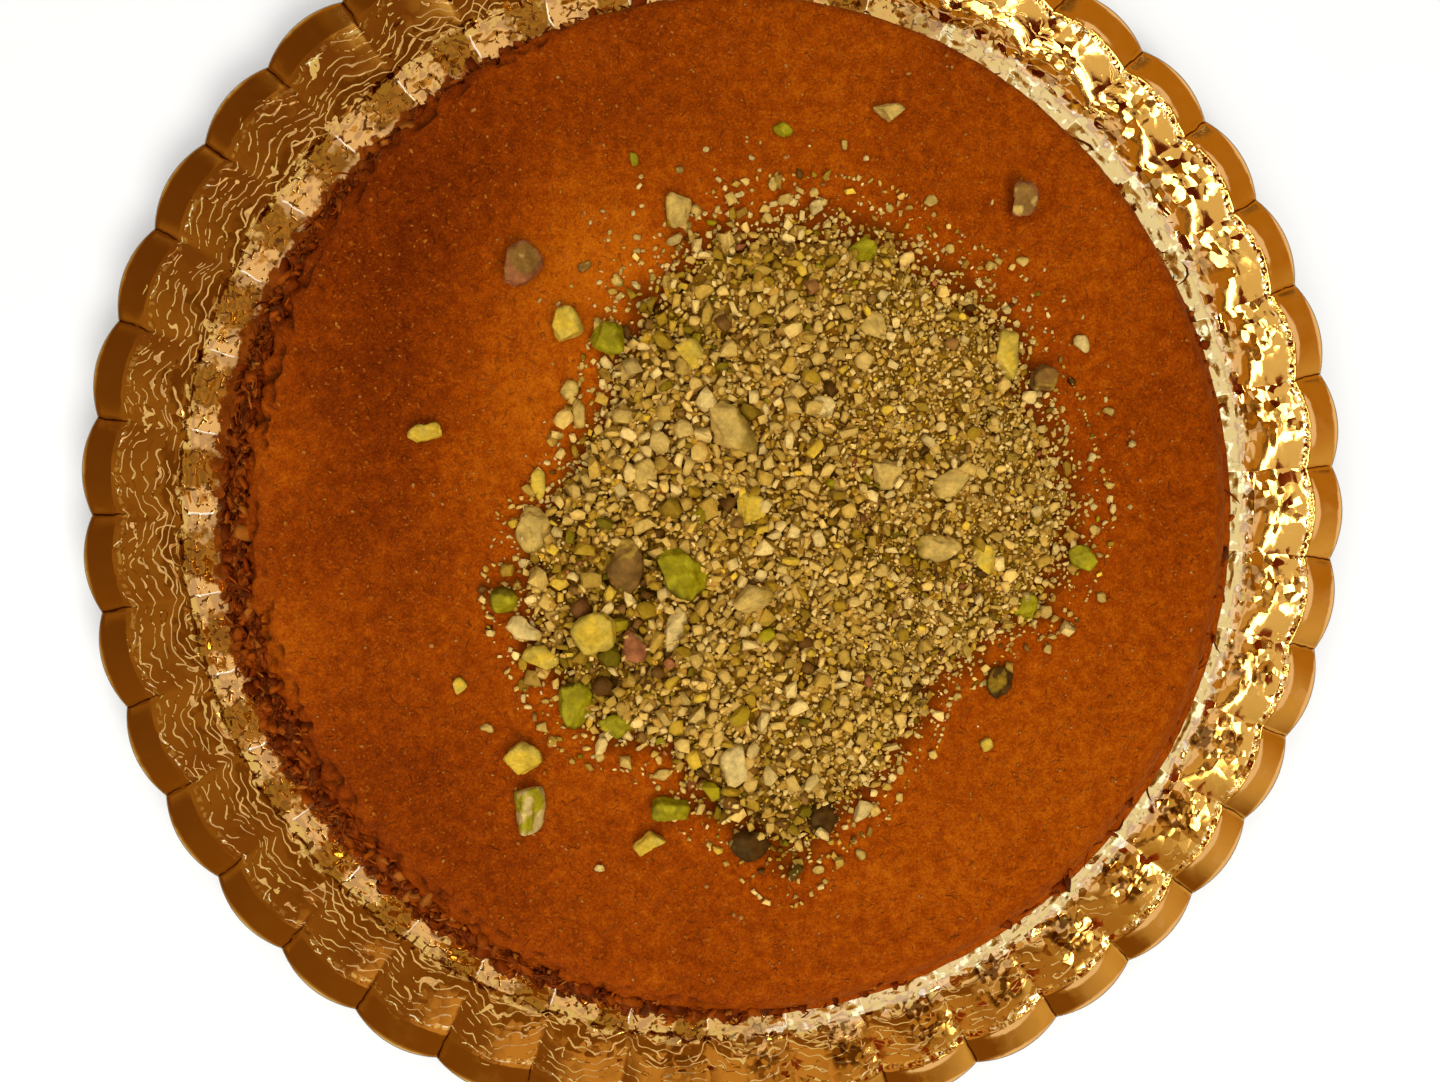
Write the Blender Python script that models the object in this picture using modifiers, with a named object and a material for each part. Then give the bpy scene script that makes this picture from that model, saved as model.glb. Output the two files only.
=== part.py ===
"""Round cheese kunafa in its gold scalloped cake tray, topped with chopped pistachio.

Metres, +Z up. The origin is the middle of the tray's underside, on the surface
that the tray stands on. +Y is the far side of the tray and +X its right side.
"""

import math
import random

import bmesh
import bpy
import numpy as np
from mathutils import Matrix, Vector

MM = 0.001
TOUCHING_GAP = 0.3 * MM

# Tray: one pressed card with a flat floor, a fluted slope and a scalloped lip
FLUTES = 41
STEPS_PER_FLUTE = 4
FLUTE_SHARP_ANGLE = math.radians(35)
CARD_THICKNESS = 0.9 * MM
FLOOR_RADIUS = 138.0 * MM
FLOOR_BEND = 1.5 * MM
FLOOR_BEND_RISE = 0.3 * MM
SLOPE_TOP_RADIUS = 150.0 * MM
SLOPE_TOP_HEIGHT = 11.3 * MM
LIP_NOTCH_RADIUS = 155.0 * MM
LIP_HEIGHT = 14.3 * MM
LIP_BULGE = 2.6 * MM
SLOPE_BULGE = 2.0 * MM
SLOPE_MIDDLE_BULGE = 1.4 * MM
SLOPE_MIDDLE_RISE_SHARE = 0.52

# Kunafa: a flat oval top whose side flares out to a thin ledge at the foot
KUNAFA_STEPS = 136
KUNAFA_THICKNESS = 16.0 * MM
TOP_CENTRE = Vector((4.1 * MM, 1.3 * MM))
TOP_RADII = Vector((119.8 * MM, 125.2 * MM))
FOOT_CENTRE = Vector((3.0 * MM, -2.4 * MM))
FOOT_RADIUS = 130.2 * MM
RAGGED_DEPTH = 1.3 * MM
RAGGED_FROM = math.radians(100)
RAGGED_TO = math.radians(285)
RAGGED_EASE = 0.3
UNEVEN_DEPTH = 0.4 * MM

# Waves round the kunafa's side, each by its count, strength and start
RAGGED_WAVES = ((37, 0.5, 0.4), (59, 0.4, 2.0), (23, 0.5, 1.1), (71, 0.3, 0.2))
RAGGED_TURN_STEPS = 5
UNEVEN_WAVES = ((3, 0.4, 0.5), (5, 0.3, 1.9), (11, 0.15, 0.7))

# The kunafa's side from foot to top in mm: height over the foot, share of the
# top's outline, step outwards, and how far the torn side stands out or in
SIDE_PROFILE = (
    (0.0, 0.0, -1.8, 0.0),
    (1.6, 0.0, 0.0, 0.5),
    (3.2, 0.10, 0.2, -0.6),
    (4.0, 0.22, -0.8, 0.7),
    (7.5, 0.48, 0.3, -0.9),
    (11.5, 0.74, 0.6, 1.0),
    (14.4, 1.0, 0.5, -0.5),
    (15.7, 1.0, -1.8, 0.0),
    (16.0, 1.0, -6.0, 0.0),
)

# Pistachio heap: how far it reaches from its middle, every 15 degrees from +X
HEAP_CENTRE = Vector((14.0 * MM, -3.8 * MM))
HEAP_REACH_MM = (
    71, 69, 69, 74, 73, 76, 75, 73, 66, 58, 53, 54,
    63, 67, 67, 68, 61, 71, 82, 68, 59, 52, 57, 67,
)
HEAP_STEPS = 48
HEAP_RING_SHARES = (0.99, 0.90, 0.74, 0.56, 0.36, 0.16)
HEAP_HEIGHT = 6.5 * MM
HEAP_EDGE_HEIGHT = 1.6 * MM
HEAP_FULLNESS = 0.7
HEAP_BUMP = 0.8 * MM
HEAP_BUMP_LENGTHS = (6.1 * MM, 7.3 * MM)
HEAP_BUMP_START = 1.3
HEAP_CRUMBS = 86
FINE_PIECE_LENGTH = 9.3 * MM
CRUMB_LENGTHS = (6.0 * MM, 3.2 * MM)
CRUMB_WIDTH_SHARES = (0.65, 0.95)
CRUMB_HEIGHT_SHARES = (0.55, 0.8)
CRUMB_REACH_LIMIT = 0.975

# Shape of a chopped kernel: how far its corners move in or out, how square it
# is, and the share of its height that is cut off flat below
CHUNK_DENTS = (-0.16, 0.10)
CHUNK_ROUND_SHARE = 0.72
CHUNK_SIZE_SHARE = 0.96
SUNK_SHARE = 0.45

# Room kept round a piece, as a share of its length
LOOSE_ROOM = 0.62
SMALL_ROOM = 0.6
CRUMB_ROOM = 0.6
HEAPED_ROOM = 0.35
HEAPED_CRUMB_ROOM = 0.3

# Small pieces on the crust in mm, fused to it: x, y, length, width, turn in degrees
SMALL_PIECES = (
    (12.6, 93.8, 5.0, 4.4, 20),
    (-24.3, 86.3, 3.4, 2.6, 90),
    (27.6, 90.2, 3.2, 2.5, 70),
    (20.8, 75.4, 4.6, 4.0, 30),
    (-39.8, 30.9, 4.8, 4.2, 45),
    (-37.4, 25.2, 7.6, 4.2, 95),
    (-47.9, 7.8, 7.2, 3.8, 85),
    (-67.4, -42.0, 5.0, 3.6, 110),
    (-60.2, -52.4, 3.6, 2.8, 0),
    (-17.2, -64.6, 6.0, 3.2, 10),
    (32.9, -74.3, 6.2, 5.2, 60),
    (64.8, -58.1, 3.8, 3.2, 30),
    (87.6, 42.3, 5.4, 4.6, 100),
    (49.2, 77.2, 3.8, 3.0, 60),
    (72.4, 62.3, 3.4, 3.0, 0),
    (-36.0, 60.6, 3.4, 2.6, 50),
    (-33.2, -88.0, 3.0, 2.6, 0),
)
SMALL_HEIGHT_SHARE = 0.6
SMALL_SUNK_SHARE = 0.25
SCATTERED_CRUMBS = 16
SCATTERED_LENGTHS = (3.6 * MM, 2.6 * MM)
SCATTERED_WIDTH_SHARE = 0.8
SCATTERED_GAP = 6.0 * MM
SCATTERED_SPREAD = 12.0 * MM

# Pistachio pieces on the heap in mm: x, y, length, width, height, turn in degrees
HEAP_PIECES = (
    (-1.8, 20.6, 16.5, 10.5, 7.0, 118),
    (-13.3, -12.8, 14.0, 11.0, 7.5, 140),
    (-26.1, -11.3, 13.5, 8.5, 6.5, 80),
    (3.3, -20.2, 13.0, 8.0, 6.5, 30),
    (-14.8, -27.4, 11.0, 5.5, 5.0, 70),
    (-21.5, 10.5, 8.5, 6.0, 5.0, 20),
    (3.5, 1.5, 8.0, 7.0, 5.0, 0),
    (36.9, 10.2, 9.5, 9.0, 5.5, 0),
    (54.2, 9.0, 11.0, 7.0, 5.0, 35),
    (50.1, -8.7, 10.5, 7.5, 5.5, 165),
    (61.9, -10.5, 7.5, 6.0, 4.5, 80),
    (34.2, 46.1, 9.0, 7.0, 5.0, 150),
    (22.0, 26.0, 6.5, 6.0, 4.5, 0),
    (-10.8, 38.6, 7.5, 7.0, 5.0, 40),
    (-24.2, -31.5, 10.0, 6.0, 5.0, 85),
    (0.9, -62.5, 13.5, 8.0, 6.0, 105),
    (31.9, 64.5, 7.0, 6.5, 5.0, 60),
    (-48.9, -2.4, 11.5, 9.5, 6.5, 100),
    (-46.9, -35.2, 8.5, 6.5, 5.0, 10),
    (-32.7, -28.3, 11.0, 9.5, 6.5, 20),
    (-38.9, -46.0, 11.5, 10.0, 7.0, 120),
    (-28.4, -51.1, 9.0, 7.5, 5.5, 30),
    (5.0, -82.5, 8.5, 7.5, 5.0, 20),
    (22.3, -75.7, 8.5, 7.5, 5.5, 100),
    (67.6, 39.7, 12.0, 7.5, 4.5, 80),
    (73.6, -23.6, 8.0, 5.0, 4.5, 75),
)

# Separate pistachio pieces on the crust, by name, with the same six sizes
LOOSE_PIECES = {
    "pistachio_skinned_left": (-51.6, 60.8, 11.5, 9.5, 7.0, 35, "skin"),
    "pistachio_slab_top": (-13.0, 73.9, 10.5, 7.0, 4.5, 95, "pale"),
    "pistachio_twin_top": (38.2, 98.6, 8.0, 5.2, 4.0, 160, "pale"),
    "pistachio_skinned_right": (71.7, 78.2, 8.6, 7.4, 5.5, 80, "skin"),
    "pistachio_yellow_left": (-40.9, 46.0, 9.5, 7.5, 5.0, 110, "yellow"),
    "pistachio_olive_left": (-31.0, 42.4, 9.5, 9.0, 6.0, 0, "green"),
    "pistachio_yellow_far_left": (-74.2, 19.6, 8.0, 5.2, 4.0, 15, "yellow"),
    "pistachio_green_left": (-55.4, -21.0, 6.8, 6.6, 4.5, 0, "green"),
    "pistachio_wedge_lower_left": (-51.5, -60.2, 9.0, 8.4, 4.5, 60, "yellow"),
    "pistachio_block_lower_left": (-50.6, -71.6, 11.5, 8.5, 6.0, 85, "green"),
    "pistachio_green_bottom": (-16.2, -73.4, 9.0, 7.6, 5.0, 165, "green"),
    "pistachio_yellow_bottom": (-20.6, -81.0, 7.8, 6.4, 4.5, 30, "yellow"),
    "pistachio_brown_right": (67.2, -41.7, 7.4, 6.2, 4.0, 70, "skin"),
    "pistachio_dark_right": (78.4, 33.4, 7.4, 7.0, 5.0, 0, "skin"),
    "pistachio_cream_left": (-51.9, -28.0, 9.0, 6.6, 4.5, 165, "pale"),
    "pistachio_green_right": (87.9, -10.6, 7.0, 6.0, 4.5, 150, "green"),
}

# Derived heights and places
FLOOR_TOP = CARD_THICKNESS
KUNAFA_FOOT = FLOOR_TOP + TOUCHING_GAP
KUNAFA_TOP = KUNAFA_FOOT + KUNAFA_THICKNESS
TOPPING_FOOT = KUNAFA_TOP + TOUCHING_GAP
CRUMB_FOOT = TOPPING_FOOT + 0.1 * MM
GOLDEN_ANGLE = math.pi * (3 - math.sqrt(5))
GOLDEN_SHARE = (math.sqrt(5) - 1) / 2


def clear_scene():
    """Remove every object and every collection of the open scene."""
    for thing in list(bpy.data.objects):
        bpy.data.objects.remove(thing, do_unlink=True)
    for group in list(bpy.data.collections):
        bpy.data.collections.remove(group)


def make_material(name, colour, roughness, metallic=0.0):
    """Return a Principled material of one colour (linear red, green, blue)."""
    material = bpy.data.materials.new(name)
    material.use_nodes = True
    shader = material.node_tree.nodes["Principled BSDF"]
    shader.inputs["Base Color"].default_value = (*colour, 1.0)
    shader.inputs["Roughness"].default_value = roughness
    shader.inputs["Metallic"].default_value = metallic
    material.diffuse_color = (*colour, 1.0)
    return material


def make_object(name, mesh, group, material=None):
    """Put a mesh into an object of a collection."""
    thing = bpy.data.objects.new(name, mesh)
    group.objects.link(thing)
    if material:
        mesh.materials.append(material)
    return thing


def select_only(thing):
    """Make one object the active and only selected one."""
    bpy.ops.object.select_all(action="DESELECT")
    thing.select_set(True)
    bpy.context.view_layer.objects.active = thing


def ring_faces(rings, steps, first):
    """Return the quads between rings of equal length, the first ring outermost below."""
    faces = []
    for ring in range(rings - 1):
        low = first + ring * steps
        high = low + steps
        for step in range(steps):
            after = (step + 1) % steps
            faces.append((low + step, low + after, high + after, high + step))
    return faces


def fan_faces(hub, start, steps, reverse):
    """Return the triangles that close a ring of points to one middle point."""
    faces = []
    for step in range(steps):
        after = (step + 1) % steps
        pair = (start + after, start + step) if reverse else (start + step, start + after)
        faces.append((hub, *pair))
    return faces


def wave(angle, terms):
    """Sum of cosines around a circle; each term is (count, strength, start)."""
    return sum(strength * np.cos(count * angle + start) for count, strength, start in terms)


def smooth_step(value, low, high):
    """Rise from 0 at low to 1 at high with flat ends."""
    share = np.clip((value - low) / (high - low), 0.0, 1.0)
    return share * share * (3 - 2 * share)


# Tray

def make_tray(group, material):
    """Loft a round floor to the scalloped lip, then give the sheet the card's thickness."""
    steps = FLUTES * STEPS_PER_FLUTE
    angle = np.arange(steps) * 2 * math.pi / steps
    across_flute = (angle * FLUTES / (2 * math.pi) + 0.5) % 1.0
    bulge = 1 - (2 * across_flute - 1) ** 2
    middle_radius = (FLOOR_RADIUS + SLOPE_TOP_RADIUS) / 2
    profile = (
        (FLOOR_RADIUS - FLOOR_BEND, FLOOR_TOP, 0.0),
        (FLOOR_RADIUS, FLOOR_TOP + FLOOR_BEND_RISE, 0.0),
        (middle_radius, SLOPE_TOP_HEIGHT * SLOPE_MIDDLE_RISE_SHARE, SLOPE_MIDDLE_BULGE),
        (SLOPE_TOP_RADIUS, SLOPE_TOP_HEIGHT, SLOPE_BULGE),
        (LIP_NOTCH_RADIUS, LIP_HEIGHT, LIP_BULGE),
    )
    points = [(0.0, 0.0, FLOOR_TOP)]
    for radius, height, depth in profile:
        reach = radius + depth * bulge
        points.extend(zip(reach * np.cos(angle), reach * np.sin(angle), [height] * steps))
    faces = fan_faces(0, 1, steps, reverse=False)
    faces += [face[::-1] for face in ring_faces(len(profile), steps, 1)]
    mesh = bpy.data.meshes.new("tray")
    mesh.from_pydata(points, [], faces)
    tray = make_object("tray", mesh, group, material)
    wall = tray.modifiers.new("card", "SOLIDIFY")
    wall.thickness = CARD_THICKNESS
    wall.offset = -1.0
    wall.use_even_offset = True
    mesh.shade_smooth()
    mesh.set_sharp_from_angle(angle=FLUTE_SHARP_ANGLE)
    return tray


# Kunafa

def kunafa_rings():
    """Return rings of points from the foot's underside up to the rim of the top.

    Each ring mixes the round foot with the oval top by its share, moved outwards
    by its step, and the side on the left stands in and out where it is torn.
    """
    angle = np.arange(KUNAFA_STEPS) * 2 * math.pi / KUNAFA_STEPS
    rough = wave(angle, RAGGED_WAVES)
    torn = smooth_step(angle, RAGGED_FROM, RAGGED_FROM + RAGGED_EASE)
    torn = torn * (1 - smooth_step(angle, RAGGED_TO - RAGGED_EASE, RAGGED_TO))
    uneven = wave(angle, UNEVEN_WAVES)
    rings = []
    for index, (height, share, step, torn_share) in enumerate(SIDE_PROFILE):
        shift = RAGGED_DEPTH * torn_share * torn * np.roll(rough, RAGGED_TURN_STEPS * index)
        shift = shift + UNEVEN_DEPTH * uneven * (0 < index < len(SIDE_PROFILE) - 1)
        shift = shift + step * MM
        foot_x = FOOT_CENTRE.x + (FOOT_RADIUS + shift) * np.cos(angle)
        foot_y = FOOT_CENTRE.y + (FOOT_RADIUS + shift) * np.sin(angle)
        top_x = TOP_CENTRE.x + (TOP_RADII.x + shift) * np.cos(angle)
        top_y = TOP_CENTRE.y + (TOP_RADII.y + shift) * np.sin(angle)
        ring_x = foot_x * (1 - share) + top_x * share
        ring_y = foot_y * (1 - share) + top_y * share
        ring_z = np.full(KUNAFA_STEPS, KUNAFA_FOOT + height * MM)
        rings.append(np.column_stack((ring_x, ring_y, ring_z)))
    return rings


def make_kunafa(group, material):
    """Loft the rings of the kunafa and close its underside and its flat top."""
    rings = kunafa_rings()
    points = [(FOOT_CENTRE.x, FOOT_CENTRE.y, KUNAFA_FOOT)]
    for ring in rings:
        points.extend(ring.tolist())
    points.append((TOP_CENTRE.x, TOP_CENTRE.y, KUNAFA_TOP))
    last_ring = 1 + (len(rings) - 1) * KUNAFA_STEPS
    faces = fan_faces(0, 1, KUNAFA_STEPS, reverse=True)
    faces += ring_faces(len(rings), KUNAFA_STEPS, 1)
    faces += fan_faces(len(points) - 1, last_ring, KUNAFA_STEPS, reverse=False)
    mesh = bpy.data.meshes.new("kunafa")
    mesh.from_pydata(points, [], faces)
    return make_object("kunafa", mesh, group, material)


# Pistachio

def heap_reach(angle):
    """Return the heap's reach at an angle, eased between the stated directions."""
    place = (angle / (2 * math.pi)) % 1.0 * len(HEAP_REACH_MM)
    index = int(place)
    share = place - index
    share = share * share * (3 - 2 * share)
    near = HEAP_REACH_MM[index % len(HEAP_REACH_MM)]
    far = HEAP_REACH_MM[(index + 1) % len(HEAP_REACH_MM)]
    return (near * (1 - share) + far * share) * MM


def heap_surface(x, y):
    """Return the height of the heap's core over the crust's top at a place."""
    away = Vector((x, y)) - HEAP_CENTRE
    share = away.length / heap_reach(math.atan2(away.y, away.x))
    if share >= 1:
        return 0.0
    rise = (1 - share ** 2) ** HEAP_FULLNESS
    dome = HEAP_EDGE_HEIGHT + (HEAP_HEIGHT - HEAP_EDGE_HEIGHT) * rise
    bump = math.sin(x / HEAP_BUMP_LENGTHS[0] + HEAP_BUMP_START) * math.sin(y / HEAP_BUMP_LENGTHS[1])
    return dome + HEAP_BUMP * bump * (1 - share ** 4)


def make_heap_core(group, material):
    """Make the mound of fine crumbs that carries the larger pieces."""
    points = [(HEAP_CENTRE.x, HEAP_CENTRE.y, TOPPING_FOOT)]
    angles = [step * 2 * math.pi / HEAP_STEPS for step in range(HEAP_STEPS)]
    foot_ring = [(0.0, HEAP_RING_SHARES[0])]
    for height_share, ring_share in foot_ring + [(1.0, share) for share in HEAP_RING_SHARES]:
        for angle in angles:
            reach = heap_reach(angle) * ring_share
            x = HEAP_CENTRE.x + reach * math.cos(angle)
            y = HEAP_CENTRE.y + reach * math.sin(angle)
            points.append((x, y, TOPPING_FOOT + height_share * heap_surface(x, y)))
    points.append((HEAP_CENTRE.x, HEAP_CENTRE.y, TOPPING_FOOT + heap_surface(*HEAP_CENTRE)))
    rings = len(HEAP_RING_SHARES) + 1
    faces = fan_faces(0, 1, HEAP_STEPS, reverse=True)
    faces += ring_faces(rings, HEAP_STEPS, 1)
    faces += fan_faces(len(points) - 1, 1 + (rings - 1) * HEAP_STEPS, HEAP_STEPS, reverse=False)
    mesh = bpy.data.meshes.new("pistachio_heap")
    mesh.from_pydata(points, [], faces)
    return make_object("pistachio_heap", mesh, group, material)


def make_chunk(name, group, size, place, turn, detail, draw, material=None):
    """Make one chopped kernel: a ball of flat faces, stretched, dented and flat below.

    size is length, width and height, place is its middle in x and y with the
    height of its flat foot, and turn is its angle seen from above.
    """
    shape = bmesh.new()
    bmesh.ops.create_icosphere(shape, subdivisions=detail, radius=1.0)
    height = size[2]
    for vertex in shape.verts:
        vertex.co *= 1 + draw.uniform(*CHUNK_DENTS)
        corner = max(abs(vertex.co.x), abs(vertex.co.y), abs(vertex.co.z))
        vertex.co *= CHUNK_ROUND_SHARE + (1 - CHUNK_ROUND_SHARE) / max(corner, 0.5)
        vertex.co.x *= size[0] / 2 * CHUNK_SIZE_SHARE
        vertex.co.y *= size[1] / 2 * CHUNK_SIZE_SHARE
        vertex.co.z *= height * (1 - SUNK_SHARE)
    shape.transform(Matrix.Rotation(turn, 4, "Z"))
    foot = -height * SUNK_SHARE
    for vertex in shape.verts:
        vertex.co.z = max(vertex.co.z, foot)
    shape.transform(Matrix.Translation(Vector((place[0], place[1], place[2] - foot))))
    mesh = bpy.data.meshes.new(name)
    shape.to_mesh(mesh)
    shape.free()
    return make_object(name, mesh, group, material)


def room_round(rows, share):
    """Return a round spot (x, y, radius) for each row of a table in mm."""
    return [(row[0] * MM, row[1] * MM, share * row[2] * MM) for row in rows]


def is_clear(x, y, reach, taken):
    """Tell whether a round spot stays clear of the round spots already taken."""
    return all(math.hypot(x - other[0], y - other[1]) > reach + other[2] for other in taken)


def fill_heap(pieces, taken, draw):
    """Make the heap's named pieces and then the smaller crumbs, evenly over its outline."""
    for row in HEAP_PIECES:
        x, y, length, width, height = [value * MM for value in row[:5]]
        foot = max(heap_surface(x, y) - height * SUNK_SHARE, 0.0)
        detail = 2 if length > FINE_PIECE_LENGTH else 1
        make_chunk("piece", pieces, (length, width, height), (x, y, CRUMB_FOOT + foot),
                   math.radians(row[5]), detail, draw)
    named = room_round(HEAP_PIECES, HEAPED_ROOM)
    for index in range(HEAP_CRUMBS):
        share = math.sqrt((index + 0.5) / HEAP_CRUMBS)
        angle = index * GOLDEN_ANGLE
        size_share = (index * GOLDEN_SHARE) % 1.0
        length = CRUMB_LENGTHS[0] + (CRUMB_LENGTHS[1] - CRUMB_LENGTHS[0]) * size_share
        width = length * draw.uniform(*CRUMB_WIDTH_SHARES)
        height = length * draw.uniform(*CRUMB_HEIGHT_SHARES)
        turn = draw.uniform(0, math.pi)
        reach = heap_reach(angle) * min(share, CRUMB_REACH_LIMIT)
        x = HEAP_CENTRE.x + reach * math.cos(angle)
        y = HEAP_CENTRE.y + reach * math.sin(angle)
        if not is_clear(x, y, HEAPED_CRUMB_ROOM * length, named):
            continue
        if not is_clear(x, y, CRUMB_ROOM * length, taken):
            continue
        foot = max(heap_surface(x, y) - height * SUNK_SHARE, 0.0)
        make_chunk("crumb", pieces, (length, width, height), (x, y, CRUMB_FOOT + foot), turn, 1, draw)


def scatter_crumbs(pieces, taken, draw):
    """Lay the small pieces on the crust, then crumbs around the heap, clear of the rest."""
    spots = taken + room_round(HEAP_PIECES, LOOSE_ROOM) + room_round(SMALL_PIECES, SMALL_ROOM)
    rows = [[value * MM for value in row[:4]] + [math.radians(row[4])] for row in SMALL_PIECES]
    tries = 0
    while len(rows) < len(SMALL_PIECES) + SCATTERED_CRUMBS:
        angle = tries * GOLDEN_ANGLE
        tries += 1
        length = draw.uniform(*SCATTERED_LENGTHS)
        reach = heap_reach(angle) + SCATTERED_GAP + SCATTERED_SPREAD * draw.random() ** 2
        x = HEAP_CENTRE.x + reach * math.cos(angle)
        y = HEAP_CENTRE.y + reach * math.sin(angle)
        if is_clear(x, y, CRUMB_ROOM * length + 2 * TOUCHING_GAP, spots):
            spots.append((x, y, CRUMB_ROOM * length))
            rows.append((x, y, length, SCATTERED_WIDTH_SHARE * length, tries))
    for x, y, length, width, turn in rows:
        height = SMALL_HEIGHT_SHARE * width
        make_chunk("crumb", pieces, (length, width, height),
                   (x, y, KUNAFA_TOP - SMALL_SUNK_SHARE * height), turn, 1, draw)


def join_pieces(carrier, pieces):
    """Fuse a collection of pieces to the solid that carries them, then remove them."""
    union = carrier.modifiers.new("pieces", "BOOLEAN")
    union.operation = "UNION"
    union.operand_type = "COLLECTION"
    union.collection = pieces
    union.solver = "EXACT"
    select_only(carrier)
    bpy.ops.object.modifier_apply(modifier=union.name)
    for piece in list(pieces.objects):
        bpy.data.objects.remove(piece, do_unlink=True)
    bpy.data.collections.remove(pieces)


def new_group(name):
    """Make a collection in the scene."""
    group = bpy.data.collections.new(name)
    bpy.context.scene.collection.children.link(group)
    return group


def build():
    """Make every piece of the object."""
    clear_scene()
    group = new_group("cheese_kunafa")
    foil = make_material("gold_foil", (0.72, 0.42, 0.10), 0.28, 1.0)
    crust = make_material("kunafa_crust", (0.30, 0.070, 0.006), 0.55)
    nut_colours = {
        "crumbs": make_material("pistachio_crumbs", (0.42, 0.28, 0.07), 0.7),
        "pale": make_material("pistachio_pale", (0.56, 0.40, 0.14), 0.6),
        "yellow": make_material("pistachio_yellow", (0.45, 0.33, 0.05), 0.55),
        "green": make_material("pistachio_green", (0.28, 0.22, 0.02), 0.55),
        "skin": make_material("pistachio_skin", (0.27, 0.13, 0.07), 0.6),
    }
    make_tray(group, foil)

    taken = room_round(LOOSE_PIECES.values(), LOOSE_ROOM)
    kunafa = make_kunafa(group, crust)
    scattered = new_group("scattered_crumbs")
    scatter_crumbs(scattered, taken, random.Random(7))
    join_pieces(kunafa, scattered)

    heap = make_heap_core(group, nut_colours["crumbs"])
    heaped = new_group("heaped_pieces")
    fill_heap(heaped, taken, random.Random(11))
    join_pieces(heap, heaped)

    draw = random.Random(3)
    for name, row in LOOSE_PIECES.items():
        x, y, length, width, height = [value * MM for value in row[:5]]
        make_chunk(name, group, (length, width, height), (x, y, TOPPING_FOOT),
                   math.radians(row[5]), 2, draw, nut_colours[row[6]])


build()
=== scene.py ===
# %% [markdown]
# # A round of cheese kunafa in its gold cake tray
#
# The subject is one round of cheese kunafa, about 25 cm across, with a heap of
# chopped pistachio, in the fluted gold card tray it comes in. The solid model
# is loaded first and never moved. Every piece made here lies on it, in metres,
# with +Z up and the origin under the middle of the tray.

import math
import random

import bmesh
import bpy
import numpy as np
from mathutils import Matrix


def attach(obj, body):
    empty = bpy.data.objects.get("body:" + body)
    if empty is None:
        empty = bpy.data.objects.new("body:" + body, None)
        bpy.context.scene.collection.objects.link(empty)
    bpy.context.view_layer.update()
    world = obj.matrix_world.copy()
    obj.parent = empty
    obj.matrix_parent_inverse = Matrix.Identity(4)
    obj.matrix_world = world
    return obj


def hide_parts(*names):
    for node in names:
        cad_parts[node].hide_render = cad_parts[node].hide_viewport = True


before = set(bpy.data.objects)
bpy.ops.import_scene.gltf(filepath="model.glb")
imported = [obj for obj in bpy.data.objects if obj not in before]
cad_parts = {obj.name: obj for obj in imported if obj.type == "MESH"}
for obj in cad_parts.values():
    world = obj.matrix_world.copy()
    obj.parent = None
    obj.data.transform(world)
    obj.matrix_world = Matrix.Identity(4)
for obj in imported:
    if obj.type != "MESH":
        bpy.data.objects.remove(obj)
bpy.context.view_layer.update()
MM = 0.001
TAU = 2 * math.pi
print("nodes:", len(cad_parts))

# %% [markdown]
# ## Camera and table
#
# The picture looks down on the round from just left of its middle, so the rim
# shows more of its slope on the left and the food hides the floor on the right.
# A camera is three directions: where it looks, what is up in the picture, and
# what is right. They are worked out from its place and the point that it aims
# at, instead of turning it by hand.

# %% Camera
CAMERA_PLACE = np.array((-27.0, 10.8, 362.8)) * MM
CAMERA_AIM = np.array((-2.9, -6.75, 15.0)) * MM


def looking_from(place, aim):
    """Matrix of a camera or lamp: back is place minus aim, right is Y cross back, up is back cross right."""
    back = np.array(place) - np.array(aim)
    back /= np.linalg.norm(back)
    right = np.cross((0.0, 1.0, 0.0), back)
    right /= np.linalg.norm(right)
    turned = np.column_stack((right, np.cross(back, right), back, place))
    return Matrix([*turned.tolist(), [0.0, 0.0, 0.0, 1.0]])


def add_camera():
    """Camera of 35 mm on a 36 mm frame."""
    data = bpy.data.cameras.new("camera")
    data.lens = 35.0
    data.sensor_width = 36.0
    data.clip_start = 0.01
    camera = bpy.data.objects.new("camera", data)
    bpy.context.scene.collection.objects.link(camera)
    camera.matrix_world = looking_from(CAMERA_PLACE, CAMERA_AIM)
    bpy.context.scene.camera = camera
    return camera


camera = add_camera()
print("camera height over the table, mm:", round(camera.matrix_world.translation.z / MM, 1))

# %% [markdown]
# ## Light
#
# The crust and the nuts are matt, so they need broad soft light: a large lamp
# overhead and a smaller one above the lower right, which draws soft shadows.
# The foil is a mirror, so it shows the room instead. The room is the sky's
# colours, which matt surfaces don't see: pale walls on the left, dim and warm
# ones on the right, an amber ring over them, a bright ceiling, a strip of
# windows that the foil breaks up into white glints, and a dark strip over it.
# The camera itself sees plain pale grey there, so only the foil shows the room.

# %% Lamps
def add_lamp(name, place, side, radiance, colour):
    """Square lamp aimed at the tray; its power is radiance times area times pi."""
    data = bpy.data.lights.new(name, "AREA")
    data.size = side
    data.energy = radiance * side * side * math.pi
    data.color = colour
    lamp = bpy.data.objects.new(name, data)
    bpy.context.scene.collection.objects.link(lamp)
    lamp.matrix_world = looking_from(place, (0.0, 0.0, 0.0))
    lamp.visible_camera = False
    lamp.visible_glossy = False
    return lamp


def toward(azimuth, from_vertical, distance):
    """Point at a distance in a direction given by its azimuth from +X and its angle from straight up."""
    azimuth, lean = math.radians(azimuth), math.radians(from_vertical)
    return (distance * math.sin(lean) * math.cos(azimuth),
            distance * math.sin(lean) * math.sin(azimuth), distance * math.cos(lean))


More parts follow.
